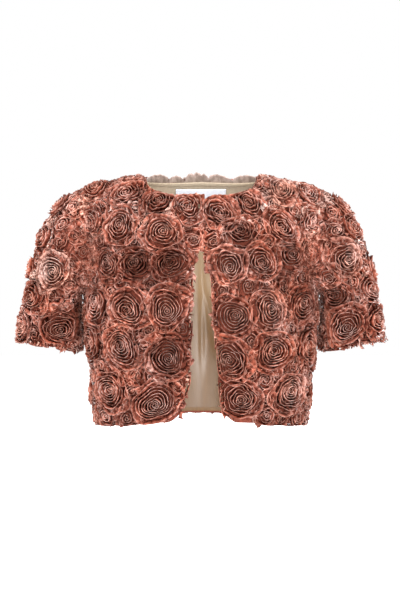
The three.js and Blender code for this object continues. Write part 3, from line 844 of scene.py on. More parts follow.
# %% Borders
HEM_REACH, NECK_REACH, EDGE_REACH, CLOSED_REACH = 1.0, 1.5, 1.5, 1.0
CREASE_REACH, CUFF_REACH, BACK_REACH = 2.0, 1.5, 0.0
SOFT, CREASE_SOFT = 4.0, 10.0  # over how many millimetres a border slows the ribbon down
OPEN_FROM = 4  # from this distance from the middle on, the fronts have parted

borders = {}
for side in (-1, 1):
    hem, _, armhole_edge, edge = edges_of[-1, side]
    parted = np.abs(edge[0][:, 0]) > OPEN_FROM
    borders[front_name(side)] = {
        "hem": Border(*hem, HEM_REACH, SOFT),
        "neck": Border(*round_neck, NECK_REACH, SOFT),
        "armhole": Border(*armhole_edge, CREASE_REACH, CREASE_SOFT, open_ended=True),
        "edge": Border(edge[0][parted], edge[1][parted], EDGE_REACH, SOFT),
        "closed_edge": Border(
            edge[0][~parted], edge[1][~parted], CLOSED_REACH, SOFT, open_ended=True
        ),
    }
    ring = np.linspace(0, 2, 150)
    borders[sleeve_name(side)] = {
        "armhole": Border(
            sleeve(side, ring, 0), sleeve(side, ring, 0.02), CREASE_REACH, CREASE_SOFT
        ),
        "cuff": Border(sleeve(side, ring, 1), sleeve(side, ring, 0.98), CUFF_REACH, SOFT),
    }
right, left = edges_of[1, -1], edges_of[1, 1]
back_hem = [np.concatenate([first[::-1], second]) for first, second in zip(right[0], left[0])]
borders["back"] = {
    "hem": Border(*back_hem, BACK_REACH, SOFT),
    "neck": Border(*round_neck, BACK_REACH, SOFT),
    "armhole_right": Border(*right[2], CREASE_REACH, CREASE_SOFT, open_ended=True),
    "armhole_left": Border(*left[2], CREASE_REACH, CREASE_SOFT, open_ended=True),
}
print("borders:", {panel: list(named) for panel, named in borders.items()})

# %% Keeping ribbon within the borders
def held_back(panel, places, inset=0.0, centre=None, reach=0.0):
    """Keeps places from passing the panel's borders, those near the centre if it is given."""
    for border in borders[panel].values():
        if centre is None or border.tree.find(Vector(centre))[2] < reach:
            places = border.held_back(places, inset)
    return places


# %% Room where body and sleeve come close
CREASE_ROOM, SHOULDER_ROOM = 0.5, 14
CREASE_Z, SHOULDER_Z = -130, -50
CLOTH_BETWEEN = 10  # both nets and the air between their ribbons
ROOM_GROWS, ROOM_CURVES = 0.1, 0.0032

tight_places, tight_rooms = [], []
for side in (-1, 1):
    ring = np.arange(36) / 18
    places = armhole(side, ring)
    tight_places.append(places)
    opening = smoothstep(places[:, 2], CREASE_Z, SHOULDER_Z)
    tight_rooms.append(CREASE_ROOM + SHOULDER_ROOM * opening)
    under = sleeve(side, 1.0, np.arange(1, 11) / 10)
    level = -(UNDERARM_Z - under[:, 2]) / (UNDERARM_Z - HEM_Z)
    beside = body(-1, side, math.pi / 2, level)
    room = (np.abs(under[:, 0] - beside[:, 0]) - CLOTH_BETWEEN) / 2
    tight_places += [under, beside]
    tight_rooms += [room, room]
tight_places, tight_rooms = np.concatenate(tight_places), np.concatenate(tight_rooms)
closest = 2 * tight_rooms.min() + CLOTH_BETWEEN
print("under the arm, body and sleeve come within", float(closest.round(1)), "mm")


def room_above(places):
    """How high ribbon may stand at some places."""
    far = np.linalg.norm(places[:, None] - tight_places[None], axis=-1)
    return (tight_rooms + ROOM_GROWS * far + ROOM_CURVES * far**2).min(axis=1)


# %% [markdown]
# ## Where the rosettes stand
#
# The rosettes were sewn on in rows. Scattering them at random would lose that order, so the
# fronts' rows follow the photograph, and those of the back and the sleeves have an even
# pitch. Small rosettes fill the widest spaces.

# %% Rows of the fronts
FRONT_ROWS = [  # the row's height at the middle, its slope, and distances from the middle
    {"side": -1, "z": -40, "rise": 0.11, "radius": 24, "out": [112, 166]},
    {"side": -1, "z": -53, "rise": 0.12, "radius": 23, "out": [17, 65]},
    {"side": -1, "z": -101, "rise": 0.16, "radius": 25, "out": [59, 123, 185]},
    {"side": -1, "z": -139, "rise": 0.01, "radius": 25, "out": [44, 96, 141]},
    {"side": -1, "z": -202, "rise": 0.02, "radius": 28, "out": [50, 108, 158]},
    {"side": -1, "z": -286, "rise": 0.19, "radius": 30, "out": [52, 116, 163]},
    {"side": -1, "z": -357, "rise": 0.21, "radius": 31, "out": [67, 137]},
    {"side": 1, "z": -12, "rise": -0.09, "radius": 23, "out": [119, 165]},
    {"side": 1, "z": -66, "rise": 0.25, "radius": 24, "out": [27, 74]},
    {"side": 1, "z": -100, "rise": 0.16, "radius": 25, "out": [58, 122, 179]},
    {"side": 1, "z": -144, "rise": 0.15, "radius": 24, "out": [43, 87, 132, 173]},
    {"side": 1, "z": -223, "rise": 0.17, "radius": 28, "out": [45, 99, 153]},
    {"side": 1, "z": -289, "rise": 0.19, "radius": 29, "out": [45, 109, 160]},
    {"side": 1, "z": -339, "rise": 0.04, "radius": 30, "out": [55, 132]},
]
print("rosettes in the fronts' rows:", sum(len(row["out"]) for row in FRONT_ROWS))

# %% Rows of the back
BACK_ROWS = [  # the first rosette's distance from the middle, along the cloth
    {"z": -12, "first": 116, "pitch": 50, "radius": 24},
    {"z": -34, "first": 25, "pitch": 50, "radius": 25},
    {"z": -82, "first": 0, "pitch": 54, "radius": 27},
    {"z": -140, "first": 30, "pitch": 60, "radius": 29},
    {"z": -206, "first": 0, "pitch": 61, "radius": 30},
    {"z": -272, "first": 31, "pitch": 62, "radius": 30},
    {"z": -338, "first": 0, "pitch": 62, "radius": 31},
]
print("rows on the back:", len(BACK_ROWS))

# %% Rosettes of the sleeves
SLEEVE_FRONT = [
    {"side": -1, "x": 229, "z": -146, "radius": 24},
    {"side": -1, "x": 258, "z": -184, "radius": 24},
    {"side": -1, "x": 274, "z": -231, "radius": 24},
    {"side": -1, "x": 222, "z": -231, "radius": 27},
    {"side": -1, "x": 203, "z": -137, "radius": 22},
    {"side": -1, "x": 212, "z": -193, "radius": 22},
    {"side": -1, "x": 240, "z": -92, "radius": 22},
    {"side": -1, "x": 204, "z": -80, "radius": 23},
    {"side": 1, "x": 219, "z": -126, "radius": 25},
    {"side": 1, "x": 257, "z": -171, "radius": 24},
    {"side": 1, "x": 208, "z": -184, "radius": 22},
    {"side": 1, "x": 228, "z": -228, "radius": 27},
    {"side": 1, "x": 268, "z": -222, "radius": 23},
    {"side": 1, "x": 230, "z": -76, "radius": 23},
    {"side": 1, "x": 196, "z": -66, "radius": 22},
]
SLEEVE_ROWS = [  # on the back half, each from the sleeve's top round to the underarm
    {"along": 0.17, "first": 0, "pitch": 50, "radius": 24},
    {"along": 0.4, "first": 25, "pitch": 51, "radius": 25},
    {"along": 0.64, "first": 0, "pitch": 52, "radius": 25},
    {"along": 0.89, "first": 26, "pitch": 52, "radius": 25},
]
print("on the sleeves' front half:", len(SLEEVE_FRONT), "rosettes, and rows behind:", len(SLEEVE_ROWS))

# %% Placing a rosette
LARGE_HEIGHT, SMALL_HEIGHT = 14.5, 10.0
INSET = 0.6  # a rosette's centre keeps this share of its radius from an edge
CROWDED = 0.55  # a large rosette is left out where it has less room than this share

rosettes = []


def carrier_of(panel):
    return carriers[panel] if panel.startswith("sleeve") else carriers["body"]


def room_at(places):
    """How far places are from the nearest rosette's rim, below 0 inside it."""
    room = np.full(len(places), 1e9)
    for r in rosettes:
        room = np.minimum(room, np.linalg.norm(places - r["centre"], axis=-1) - r["radius"])
    return room


def add_rosette(panel, centre, radius, height):
    rosettes.append({"panel": panel, "centre": centre, "radius": radius, "height": height})


def add_large(panel, centre, radius):
    """Moves a centre in from the panel's edges and onto the cloth, and adds its rosette."""
    inside = held_back(panel, centre[None], INSET * radius)
    centre = carrier_of(panel).nearest(inside)[0][0]
    if room_at(centre[None])[0] >= CROWDED * radius:
        add_rosette(panel, centre, radius, LARGE_HEIGHT)


def spaced(places, first, pitch):
    """The places that lie at even distances along a line."""
    gone = distances(places)
    return [places[np.searchsorted(gone, due)] for due in np.arange(first, gone[-1], pitch)]


# %% Large rosettes
BELOW_SHOULDER = 0.97  # the back's rows end below this level

turns = np.linspace(0, math.pi / 2, 360)
for row in FRONT_ROWS:
    for x in row["out"]:
        height = row["z"] + row["rise"] * x
        level = level_of_height(-1, row["side"], turns, height + 0 * turns)
        line = body(-1, row["side"], turns, level)[(level <= 0) | (turns <= side_turn(level))]
        centre = line[np.argmin(np.abs(np.abs(line[:, 0]) - x))]
        add_large(front_name(row["side"]), centre, row["radius"])
ring, along = pairs(np.linspace(0, 1, 90), np.linspace(0.02, 1, 60))
for spot in SLEEVE_FRONT:
    places = sleeve(spot["side"], ring, along)
    miss = np.hypot(np.abs(places[:, 0]) - spot["x"], places[:, 2] - spot["z"])
    add_large(sleeve_name(spot["side"]), places[miss.argmin()], spot["radius"])
for side in (-1, 1):
    for row in BACK_ROWS:
        level = level_of_height(1, side, turns, row["z"] + 0 * turns)
        on_back_cloth = (level <= BELOW_SHOULDER) & (turns <= side_turn(level))
        line = body(1, side, turns, level)[on_back_cloth]
        for centre in spaced(line, row["first"], row["pitch"]):
            add_large("back", centre, row["radius"])
    for row in SLEEVE_ROWS:
        line = sleeve(side, 2 - np.linspace(0, 1, 400), row["along"])
        for centre in spaced(line, row["first"], row["pitch"]):
            add_large(sleeve_name(side), centre, row["radius"])
large = len(rosettes)
print("large rosettes:", large)

# %% Small rosettes in the widest spaces
SMALL_RADIUS, SMALLEST_ROOM, SMALL_OVERLAP = 15.0, 5.0, 4

spots, spot_panels = [], []
for side in (-1, 1):
    a, b = pairs(np.linspace(0.05, 1, 30), np.linspace(0.025, 0.98, 50))
    for half, name in ((-1, front_name(side)), (1, "back")):
        spots.append(panel_points(half, side, a, b))
        spot_panels += [name] * len(a)
    ring, along = pairs(np.linspace(0, 2, 72, endpoint=False), np.linspace(0.05, 0.95, 22))
    spots.append(sleeve(side, ring, along))
    spot_panels += [sleeve_name(side)] * len(ring)
spots = np.concatenate(spots)
rooms = room_at(spots)
while rooms.max() >= SMALLEST_ROOM:
    best = int(rooms.argmax())
    radius = min(SMALL_RADIUS, rooms[best] + SMALL_OVERLAP)
    add_rosette(spot_panels[best], spots[best], radius, SMALL_HEIGHT)
    rooms = np.minimum(rooms, np.linalg.norm(spots - spots[best], axis=-1) - radius)
print("rosettes:", large, "large,", len(rosettes) - large, "small")

# %% [markdown]
# ## Winding the rosettes
#
# A ribbon stands on its edge and winds outwards. A curve with a bevel could do it, but its
# foot would not follow the cloth. Here a long narrow grid is wound, so its foot lies on the
# carrier, its inner turns are upright and its outer turns lean out and lie flatter.

# %% A rosette's spiral
SEED = 11
EVEN_TURNS = 0.56  # near a half, because a wound ribbon's length grows with the radius squared
LOOSE_TURNS, LOOSE_REACH = 1.7, 5.0  # the last turns come off the others
RUFFLE_LENGTH = 1.25

rng = np.random.default_rng(SEED)


def spiral(rosette, along, waves):
    """Share of the radius, angle, looseness, ruffle and distance from the heart."""
    radius, turns = rosette["radius"], rosette["turns"]
    part = along**EVEN_TURNS
    angle = 2 * math.pi * turns * part + waves[8]
    loose = smoothstep(part, 1 - LOOSE_TURNS / turns, 1.0)
    loose = loose * (0.7 + 0.3 * np.sin(2.3 * angle + waves[9]))
    drift = 1.3 * rosette["drift"] * (1 - part)
    shape = 1 + rosette["oval"] * np.cos(2 * angle + waves[0] + drift)
    shape += 0.06 * np.cos(3 * angle + waves[1] - 2 * drift) + 0.04 * np.cos(5.2 * angle + waves[2])
    shape += 0.07 * loose * np.cos(7.3 * angle + waves[7])
    length = along * math.pi * radius**2 / 3
    ruffle = length / RUFFLE_LENGTH + 3 * np.sin(length / 9 + waves[3])
    reach = radius * (0.03 + 0.97 * part**1.1) * shape + LOOSE_REACH * loose
    reach = reach + 0.35 * np.sin(ruffle) * part + 0.5 * np.sin(0.83 * angle + waves[5]) * part
    return part, angle, loose, ruffle, reach


# %% Where the ribbon is sewn on
BORDER_NEAR = 14  # added to one and a half times its radius, how far off a border matters


def axes_on(panel, place):
    """Two directions along the cloth at a place."""
    up = carrier_of(panel).nearest(place[None])[1][0]
    east = np.cross(up, [0.3, 0.2, 1.0])
    east /= np.linalg.norm(east)
    return east, np.cross(up, east)


def kept_in(rosette, places, inset):
    """Keeps a rosette's places from passing the borders that it may touch."""
    near = 1.5 * rosette["radius"] + BORDER_NEAR
    return held_back(rosette["panel"], places, inset, rosette["centre"], near)


def feet_of(rosette, part, angle, reach, aside):
    """The ribbon's foot on the cloth, the normals there and directions off the heart."""
    panel, centre = rosette["panel"], rosette["centre"]
    east, north = axes_on(panel, centre)
    flat = centre + reach[:, None] * (
        np.cos(angle)[:, None] * east + np.sin(angle)[:, None] * north
    )
    off = 0.2 * rosette["radius"] * (1 - part**1.3)  # the heart is a little off the middle
    flat = flat + off[:, None] * (np.cos(aside) * east + np.sin(aside) * north)
    feet = kept_in(rosette, carrier_of(panel).nearest(flat)[0], 0.0)
    feet, normals = carrier_of(panel).nearest(feet)
    outward = feet - centre
    outward -= (outward * normals).sum(-1, keepdims=True) * normals
    outward /= np.maximum(np.linalg.norm(outward, axis=-1, keepdims=True), 1e-6)
    return feet, normals, outward


# %% How the ribbon stands
OVERHANG = -2.5  # an inset below 0 lets the ribbon's top reach further out than its foot
FOOT, ARCH, PAST_ROOM = 1.6, 1.35, 2.5


def stand(rosette, feet, part, angle, loose, ruffle, waves):
    """The ribbon's height and how far it leans out, at each step along it."""
    most = np.minimum(rosette["height"], PAST_ROOM + room_above(feet))
    heart = 1 - 0.22 * np.exp(-((part / 0.22) ** 2))
    tall = most * heart * (1 - 0.18 * part**3 - 0.3 * loose)
    tall = tall * (1 + 0.06 * np.sin(3.7 * angle + waves[4]) + 0.04 * np.sin(9.1 * angle + waves[5]))
    tall = tall * (1 + 0.08 * np.sin(0.61 * angle + waves[1]))
    tall += 0.6 * np.cos(ruffle)
    lean = -0.8 + 4.6 * part**2.5 + 7.5 * loose
    lean += 0.8 * np.sin(5.3 * angle + waves[6]) * (0.3 + part)
    return tall, lean * np.clip(most / 10, 0.2, 1)


def wind(rosette, share, height):
    """Places of a ribbon's vertices: share runs along the ribbon and height up it."""
    waves = rng.uniform(0, 2 * math.pi, 10)
    along = np.unique(share)
    part, angle, loose, ruffle, reach = spiral(rosette, along, waves)
    feet, normals, outward = feet_of(rosette, part, angle, reach, waves[7])
    tall, lean = stand(rosette, feet, part, angle, loose, ruffle, waves)
    at = np.searchsorted(along, share)
    rise = FOOT + (tall[at] - FOOT) * np.sin(height * ARCH) / math.sin(ARCH)
    places = feet[at] + normals[at] * rise[:, None]
    places = places + outward[at] * (lean[at] * height**1.4)[:, None]
    return kept_in(rosette, places, OVERHANG)


# %% Many ribbons as one piece
RIBBON_THICK, SCRAP_THICK = 0.35, 0.3


def ribbon_piece(name, template, blocks, tones, thickness):
    """One copy of the template's grid for each block of places, with a tone of its own."""
    bm = bmesh.new()
    for _ in blocks:
        bm.from_mesh(template)
    mesh = bpy.data.meshes.new(name)
    bm.to_mesh(mesh)
    bm.free()
    mesh.vertices.foreach_set("co", (np.concatenate(blocks) * MM).ravel())
    tone = mesh.attributes.new("tone", "FLOAT", "POINT")
    tone.data.foreach_set("value", np.repeat(tones, len(template.vertices)))
    mesh.update()
    mesh.materials.append(RIBBON)
    return thicken(collect(name, mesh), thickness, offset=0.0)


def rosette_piece(name, chosen, pitch, steps, rows):
    template = grid_mesh("ribbon_template", steps, rows)
    share = coordinates(template)
    for rosette in chosen:
        rosette["turns"] = rosette["radius"] / pitch
    blocks = [wind(rosette, share[:, 0], share[:, 1]) for rosette in chosen]
    piece = ribbon_piece(name, template, blocks, [r["tone"] for r in chosen], RIBBON_THICK)
    bpy.data.meshes.remove(template)
    return piece


# %% Tones and shapes of the rosettes
TONE_MEAN, TONE_SPREAD, TONE_MOST = 0.45, 0.24, 0.74


def sunlit(places):
    """How much painted light pales the ribbon: most on the sleeves' upper outer sides, less on the
    shoulders.
    """
    sleeves = smoothstep(np.abs(places[..., 0]), 205, 245) * smoothstep(places[..., 2], -185, -150)
    return np.maximum(sleeves, 0.6 * smoothstep(places[..., 2], -110, -40))


for rosette in rosettes:
    # Painted light: where light falls, on the sleeves' upper outer sides and the shoulders, the tone
    # is paler; the rest of the tone is random
    pale = 0.5 * float(sunlit(rosette["centre"]))
    tone = float(np.clip(rng.normal(TONE_MEAN, TONE_SPREAD), 0, TONE_MOST))
    rosette["tone"] = tone * (1 - pale) + pale
    rosette["oval"] = rng.uniform(0.04, 0.2)
    rosette["drift"] = rng.uniform(-1, 1)
print("mean tone:", round(sum(r["tone"] for r in rosettes) / len(rosettes), 3))

# %% Rosettes
SIZES = {  # the distance between turns, and the grid's steps along the ribbon and rows up it
    "large": {"height": LARGE_HEIGHT, "pitch": 3.5, "steps": 280, "rows": 2},
    "small": {"height": SMALL_HEIGHT, "pitch": 3.2, "steps": 72, "rows": 1},
}

on_net = {node: [] for node in nets}
for node in nets:
    for size, row in SIZES.items():
        chosen = [r for r in rosettes if r["panel"] == node and r["height"] == row["height"]]
        if not chosen:
            continue
        name = f"{node}_{size}_rosettes"
        piece = rosette_piece(name, chosen, row["pitch"], row["steps"], row["rows"])
        on_net[node].append(piece)
        belongs(piece, node)
        print(piece.name, len(chosen), "rosettes,", len(piece.data.polygons), "faces")

# %% [markdown]
# ## Torn ribbon between the rosettes
#
# Between the rosettes the real jacket shows crumpled ends of the same ribbon. A displaced
# surface would look like bark, so each scrap is a small sheet that stands on the net. All
# scraps of a panel are one piece, made from one small grid that is repeated.

# %% Where the scraps stand
TRIES = 12  # random places for each scrap that is wanted
UNDER_RIM, SCRAP_INSET, CORNER_FREE = 6, 3.0, 13
SEAM_DEPTHS = (2, 5, 9)  # rows of scraps along the armhole seams


def side_of(panel):
    return -1 if panel.endswith("right") else 1


def scatter(panel, count):
    """Random places on a panel's cloth."""
    a, b = rng.uniform(0, 1, count), rng.uniform(0.01, 0.99, count)
    if panel.startswith("sleeve"):
        return sleeve(side_of(panel), 2 * a, b)
    if panel.startswith("front"):
        return panel_points(-1, side_of(panel), a, b)
    on_right = (rng.integers(0, 2, count) == 0)[:, None]
    return np.where(on_right, panel_points(1, -1, a, b), panel_points(1, 1, a, b))


def between_rosettes(panel, wanted):
    """Places between the rosettes and along the armhole seams, with the cloth's normals."""
    places = scatter(panel, TRIES * wanted)
    places = places[room_at(places) > -UNDER_RIM][:wanted]
    places = held_back(panel, places, SCRAP_INSET)
    seams = [border for name, border in borders[panel].items() if name.startswith("armhole")]
    near_seam = [seam.places - depth * seam.away for seam in seams for depth in SEAM_DEPTHS]
    places = np.concatenate([places, *near_seam])
    if panel.startswith("front"):
        corner = panel_points(-1, side_of(panel), np.zeros(1), np.zeros(1))
        places = places[np.linalg.norm(places - corner, axis=-1) > CORNER_FREE]
    return carrier_of(panel).nearest(places)


def round_rosettes(places, ups):
    """Directions along the cloth, roughly round the nearest rosette."""
    centres = np.array([r["centre"] for r in rosettes])
    radii = np.array([r["radius"] for r in rosettes])
    gaps = np.linalg.norm(places[:, None] - centres[None], axis=-1) - radii[None]
    away = places - centres[gaps.argmin(axis=1)] + rng.normal(0, 6, places.shape)
    directions = np.cross(away, ups)
    return directions / np.linalg.norm(directions, axis=-1, keepdims=True)


# %% Crumpled tongues
scrap_template = grid_mesh("scrap_template", 4, 2)
SCRAP_FOOT = 1.2


def scrap_places(places, ups, directions, length, height, tilt):
    """Crumpled tongues of ribbon, one block of vertices for each place."""
    share = coordinates(scrap_template)
    u, v = share[:, 0] - 0.5, share[:, 1]
    phase = rng.uniform(0, 6.3, (len(places), 3))
    across = np.cross(ups, directions)
    side = u[None] * length[:, None] * (1 - 0.35 * v[None])
    wave = 1.6 * np.sin(5 * u[None] + phase[:, :1]) * (0.4 + v[None])
    wave += 0.8 * np.sin(13 * u[None] + 4 * v[None] + phase[:, 1:2])
    bend = tilt[:, None] * v[None] ** 1.5
    rise = SCRAP_FOOT + height[:, None] * v[None] * np.cos(bend)
    rise += 0.7 * np.sin(9 * u[None] + phase[:, 2:3]) * v[None]
    out = wave + height[:, None] * np.sin(bend) * v[None]
    return (
        places[:, None]
        + directions[:, None] * side[..., None]
        + across[:, None] * out[..., None]
        + ups[:, None] * rise[..., None]
    )


# %% Scraps
SCRAPS = {"front_right": 700, "front_left": 700, "back": 1200, "sleeve_right": 650, "sleeve_left": 650}

for panel, wanted in SCRAPS.items():
    places, ups = between_rosettes(panel, wanted)
    directions = round_rosettes(places, ups)
    count = len(places)
    height = np.minimum(rng.uniform(5, 11, count), 1.5 + room_above(places))
    length = rng.uniform(12, 26, count)
    tilt = rng.uniform(0.5, 1.4, count)
    blocks = scrap_places(places, ups, directions, length, height, tilt)
    # A random tone, made paler by painted light where light falls on the sleeves and shoulders
    tones = rng.uniform(0.1, 0.8, count) + 0.25 * sunlit(places)
    piece = ribbon_piece(f"{panel}_scraps", scrap_template, blocks, tones, SCRAP_THICK)
    on_net[panel].append(piece)
    belongs(piece, panel)
    print(piece.name, count, "scraps,", len(piece.data.polygons), "faces")

# %% [markdown]
# ## Frayed edges
#
# Torn ends of ribbon stick out along the front edges, the back's hem and the cuffs. They
# are made as the scraps are, but point out of the cloth at its border.

# %% A fray
fray_template = grid_mesh("fray_template", 2, 2)
FRAY_LENGTH, FRAY_HOLD = 5.5, 3.0  # how long a fray is, and how far inside it starts
LEAST_LIFT, MOST_LIFT = 1.5, 10.0


def frays(panel, border, first, spacing):
    """Small tongues along a border from a first distance on, pointing out of the cloth."""
    gone = distances(border.places)
    due = np.arange(first, gone[-1], spacing)
    due = due + rng.uniform(-spacing / 2, spacing / 2, len(due))
    pick = np.clip(np.searchsorted(gone, due), 0, len(gone) - 1)
    places = border.places[pick] + rng.normal(0, 0.8, (len(pick), 3))
    _, ups = carrier_of(panel).nearest(places)
    away = border.away[pick] + rng.normal(0, 0.35, (len(pick), 3))
    across = np.cross(away, ups)
    across /= np.linalg.norm(across, axis=-1, keepdims=True)
    share = coordinates(fray_template)
    u, v = share[None, :, 0] - 0.5, share[None, :, 1]
    long = rng.uniform(0.5, 1.0, (len(pick), 1)) * FRAY_LENGTH
    wide = rng.uniform(0.5, 1.0, (len(pick), 1)) * FRAY_LENGTH * 0.8
    lift = rng.uniform(LEAST_LIFT, MOST_LIFT, (len(pick), 1))
    curl = rng.uniform(-0.5, 1.0, (len(pick), 1))
    out = v * long - FRAY_HOLD
    rise = lift + curl * v**2 * long + 0.8 * np.sin(7 * u + 5 * v)
    side = u * wide * (1 - 0.5 * v)
    return (
        places[:, None]
        + away[:, None] * out[..., None]
        + ups[:, None] * rise[..., None]
        + across[:, None] * side[..., None]
    )


# %% Frays along the free edges
FRAYS = {  # the border, the first fray's distance from its start, and the next ones' spacing
    "front_right": ("edge", 18.0, 3.0),
    "front_left": ("edge", 18.0, 3.0),
    "back": ("hem", 2.0, 4.0),
    "sleeve_right": ("cuff", 1.0, 2.0),
    "sleeve_left": ("cuff", 1.0, 2.0),
}
for panel, (border, first, spacing) in FRAYS.items():
    blocks = frays(panel, borders[panel][border], first, spacing)
    tones = rng.uniform(0.35, 0.88, len(blocks))
    piece = ribbon_piece(f"{panel}_frays", fray_template, blocks, tones, SCRAP_THICK)
    on_net[panel].append(piece)
    belongs(piece, panel)
    print(piece.name, len(blocks), "frays")

# %% [markdown]
# ## The satin inside
#
# The lining hangs inside the back with an ease pleat down its middle. A cloth simulation
# would need the body that wears the jacket, so the folds are written as a height over the
# back's form. A band covers the top edge along the neckline, and the bare label is sewn
# below the band.

# %% The back from inside
NORMAL_STEP, BELOW_SEAM = 0.002, 0.995


def back_normal(turn, level):
    """The outward normal of the back's left half, from its neighbouring places."""
    level = np.minimum(level, BELOW_SEAM)
    along = body(1, 1, turn + NORMAL_STEP, level) - body(1, 1, turn - NORMAL_STEP, level)
    up = body(1, 1, turn, level + NORMAL_STEP) - body(1, 1, turn, level - NORMAL_STEP)
    normal = np.cross(along, up)
    normal /= np.linalg.norm(normal, axis=-1, keepdims=True)
    place = body(1, 1, turn, level)
    outward = place * [1, 1, 0] + np.maximum(level, 0)[..., None] * [0, 0, 120]
    return np.where((normal * outward).sum(-1, keepdims=True) < 0, -normal, normal)


def inside_back(x_share, b, inward):
    """x_share goes from the wearer's right (-1) to the left (1), b from the hem to the top."""
    a = np.abs(x_share)
    top = top_level(1, 1, a)
    level = np.where(b <= 0.5, 2 * b - 1, np.clip(2 * b - 1, 0, 1) * top)
    turn = panel_turn(1, 1, a, level)
    place, normal = body(1, 1, turn, level), back_normal(turn, level)
    place = place - normal * np.broadcast_to(inward, a.shape)[..., None]
    place[..., 0] *= np.where(x_share < 0, -1, 1)
    place[..., 1] += SEAM_GAP / 2
    return place


# %% Lining with its pleat
LINING_INWARD, LINING_THICK = 1.3, 0.6
LINING_START = 0.006  # the share of the height that stays free at the hem


def crease(x, middle, width):
    """A sharp fold: high on its line and falling away on both sides."""
    return np.exp(-np.abs(x - middle) / width)


def folds(place):
    """How far the lining stands in from the back: an ease pleat that opens as it falls."""
    x, down = place[:, 0], -place[:, 2]
    fall = smoothstep(down, 40, 130)
    main = 2.2 * fall * crease(x, 1.5, 2.5) * (1 - smoothstep(down, 250, 330))
    opening = np.clip((down - 150) / 90, 0, None)
    second = crease(x, 2.0 + 17.0 * opening**1.15, 4.0)
    second *= 2.4 * smoothstep(down, 150, 185) * (1 - smoothstep(down, 235, 300))
    broad = np.sin(x / 9.5 + 1.2 * np.sin(down / 55)) + 0.6 * np.sin(x / 5.3 + down / 70)
    return main + second + 0.22 * (1.6 + broad) * smoothstep(down, 50, 150)


def lining(a, b):
    x = 2 * a - 1
    b = LINING_START + b * (1 - LINING_START)
    return inside_back(x, b, LINING_INWARD + folds(inside_back(x, b, 0.0)))


lining_piece = sheet_piece("back_lining_satin", 180, 60, lining)
thicken(lining_piece, LINING_THICK, offset=0.0)
lining_piece.data.materials.append(SATIN)
print(lining_piece.name, len(lining_piece.data.polygons), "faces")

# %% Band along the neckline
BAND = {"inward": 2.7, "depth": 7.0, "above": 0.5, "thick": 0.8}
NECK_COLUMN = math.asin(NECK_HALF_WIDTH / SECTIONS["half_width"][-1]) / float(side_turn(1.0))


def neck_band(a, b):
    x = (2 * a - 1) * NECK_COLUMN * 0.995
    top = inside_back(x, 1.0 + 0 * x, BAND["inward"])
    below = inside_back(x, 0.97 + 0 * x, BAND["inward"])
    down = (below - top) / np.linalg.norm(below - top, axis=-1, keepdims=True)
    return top + down * ((1 - b) * BAND["depth"] - BAND["above"])[:, None]


band_piece = thicken(sheet_piece("neck_band_satin", 80, 4, neck_band), BAND["thick"], offset=0.0)
band_piece.data.materials.append(SATIN)
print(band_piece.name, len(band_piece.data.polygons), "faces")

# %% Label
TAG = {"half_width": 41.5, "foot_z": -24, "depth": 16, "inward": 2.6, "thick": 0.5}


def on_back(x, z, inward):
    """A place on the back's inside at a distance from the middle and at a height."""
    level = np.full(x.shape, 0.5)
    for _ in range(12):
        turn = np.arcsin(np.clip(np.abs(x) / column(SECTIONS, "half_width", level), 0, 1))
        level = level_of_height(1, 1, turn, z)
    place = body(1, 1, turn, level) - back_normal(turn, level) * inward[:, None]
    place[:, 0] *= np.where(x < 0, -1, 1)
    place[:, 1] += SEAM_GAP / 2
    return place


def label(a, b):
    x = (2 * a - 1) * TAG["half_width"]
    return on_back(x, TAG["foot_z"] + TAG["depth"] * b, TAG["inward"] + 0.25 * np.cos(5 * a))


label_piece = thicken(sheet_piece("neck_label_satin", 40, 8, label), TAG["thick"], offset=0.0)
label_piece.data.materials.append(LABEL)
print(label_piece.name, len(label_piece.data.polygons), "faces")

# %% Satin pieces in place of their nodes
belongs(lining_piece, "back_lining")
belongs(band_piece, "neck_binding")
belongs(label_piece, "neck_label")

# %% [markdown]
# ## Petals along the back neck
#
# Five torn petals of beige ribbon stand on the rim of the back's neckline. Each has its own
# arch and tear, so each is its own small sheet with a row of numbers for its outline.

# %% Outlines of the petals
PETALS = [  # from start to end along X, in millimetres
    {"start": -87, "end": -51.5, "height": 13.0, "slope": -0.2, "jag": 0.4, "square": 0.4},
    {"start": -53.5, "end": -27.5, "height": 11.5, "slope": 0.0, "jag": 0.3, "square": 0.55},
    {"start": -29.0, "end": 14.5, "height": 15.0, "slope": 0.1, "jag": 1.3, "square": 0.4},
    {"start": 13.5, "end": 53, "height": 14.0, "slope": 0.75, "jag": 0.4, "square": 0.3},
    {"start": 51.5, "end": 90, "height": 12.5, "slope": 0.1, "jag": 0.4, "square": 0.4},
]

PETAL_THICK, PETAL_ROOT, ON_RIM = 0.4, 3.0, 0.45
LAYER = 0.5  # every other petal lies this much behind its neighbours


def neck_rim(x):
    """The middle of the back neckline's rim, at a distance from the middle."""
    share = np.abs(x) / NECK_HALF_WIDTH * NECK_COLUMN
    for _ in range(8):
        share += (np.abs(x) - np.abs(inside_back(share, 1.0 + 0 * share, 0.0)[:, 0])) / 260
    place = inside_back(share, 1.0 + 0 * share, ON_RIM)
    place[:, 0] = x
    return place


print("neckline's rim in the middle:", neck_rim(np.zeros(1))[0].round(1), "mm")

# %% Petals
def petal(row, layer):
    def place(a, b):
        foot = neck_rim(row["start"] + (row["end"] - row["start"]) * a)
        foot[:, 1] += LAYER * layer
        arch = np.sin(math.pi * (0.03 + 0.94 * a)) ** row["square"] * (1 - row["slope"] * (a - 0.3))
        tear = row["jag"] * (np.sin(a * 22 + row["start"]) + 0.5 * np.sin(a * 43))
        foot[:, 2] += b * (row["height"] * arch + tear * b) - PETAL_ROOT * (1 - b)
        foot[:, 1] += 2.2 * np.sin(a * 7) * b**2 + 0.5 * np.sin(a * 31) * b
        return foot

    return place


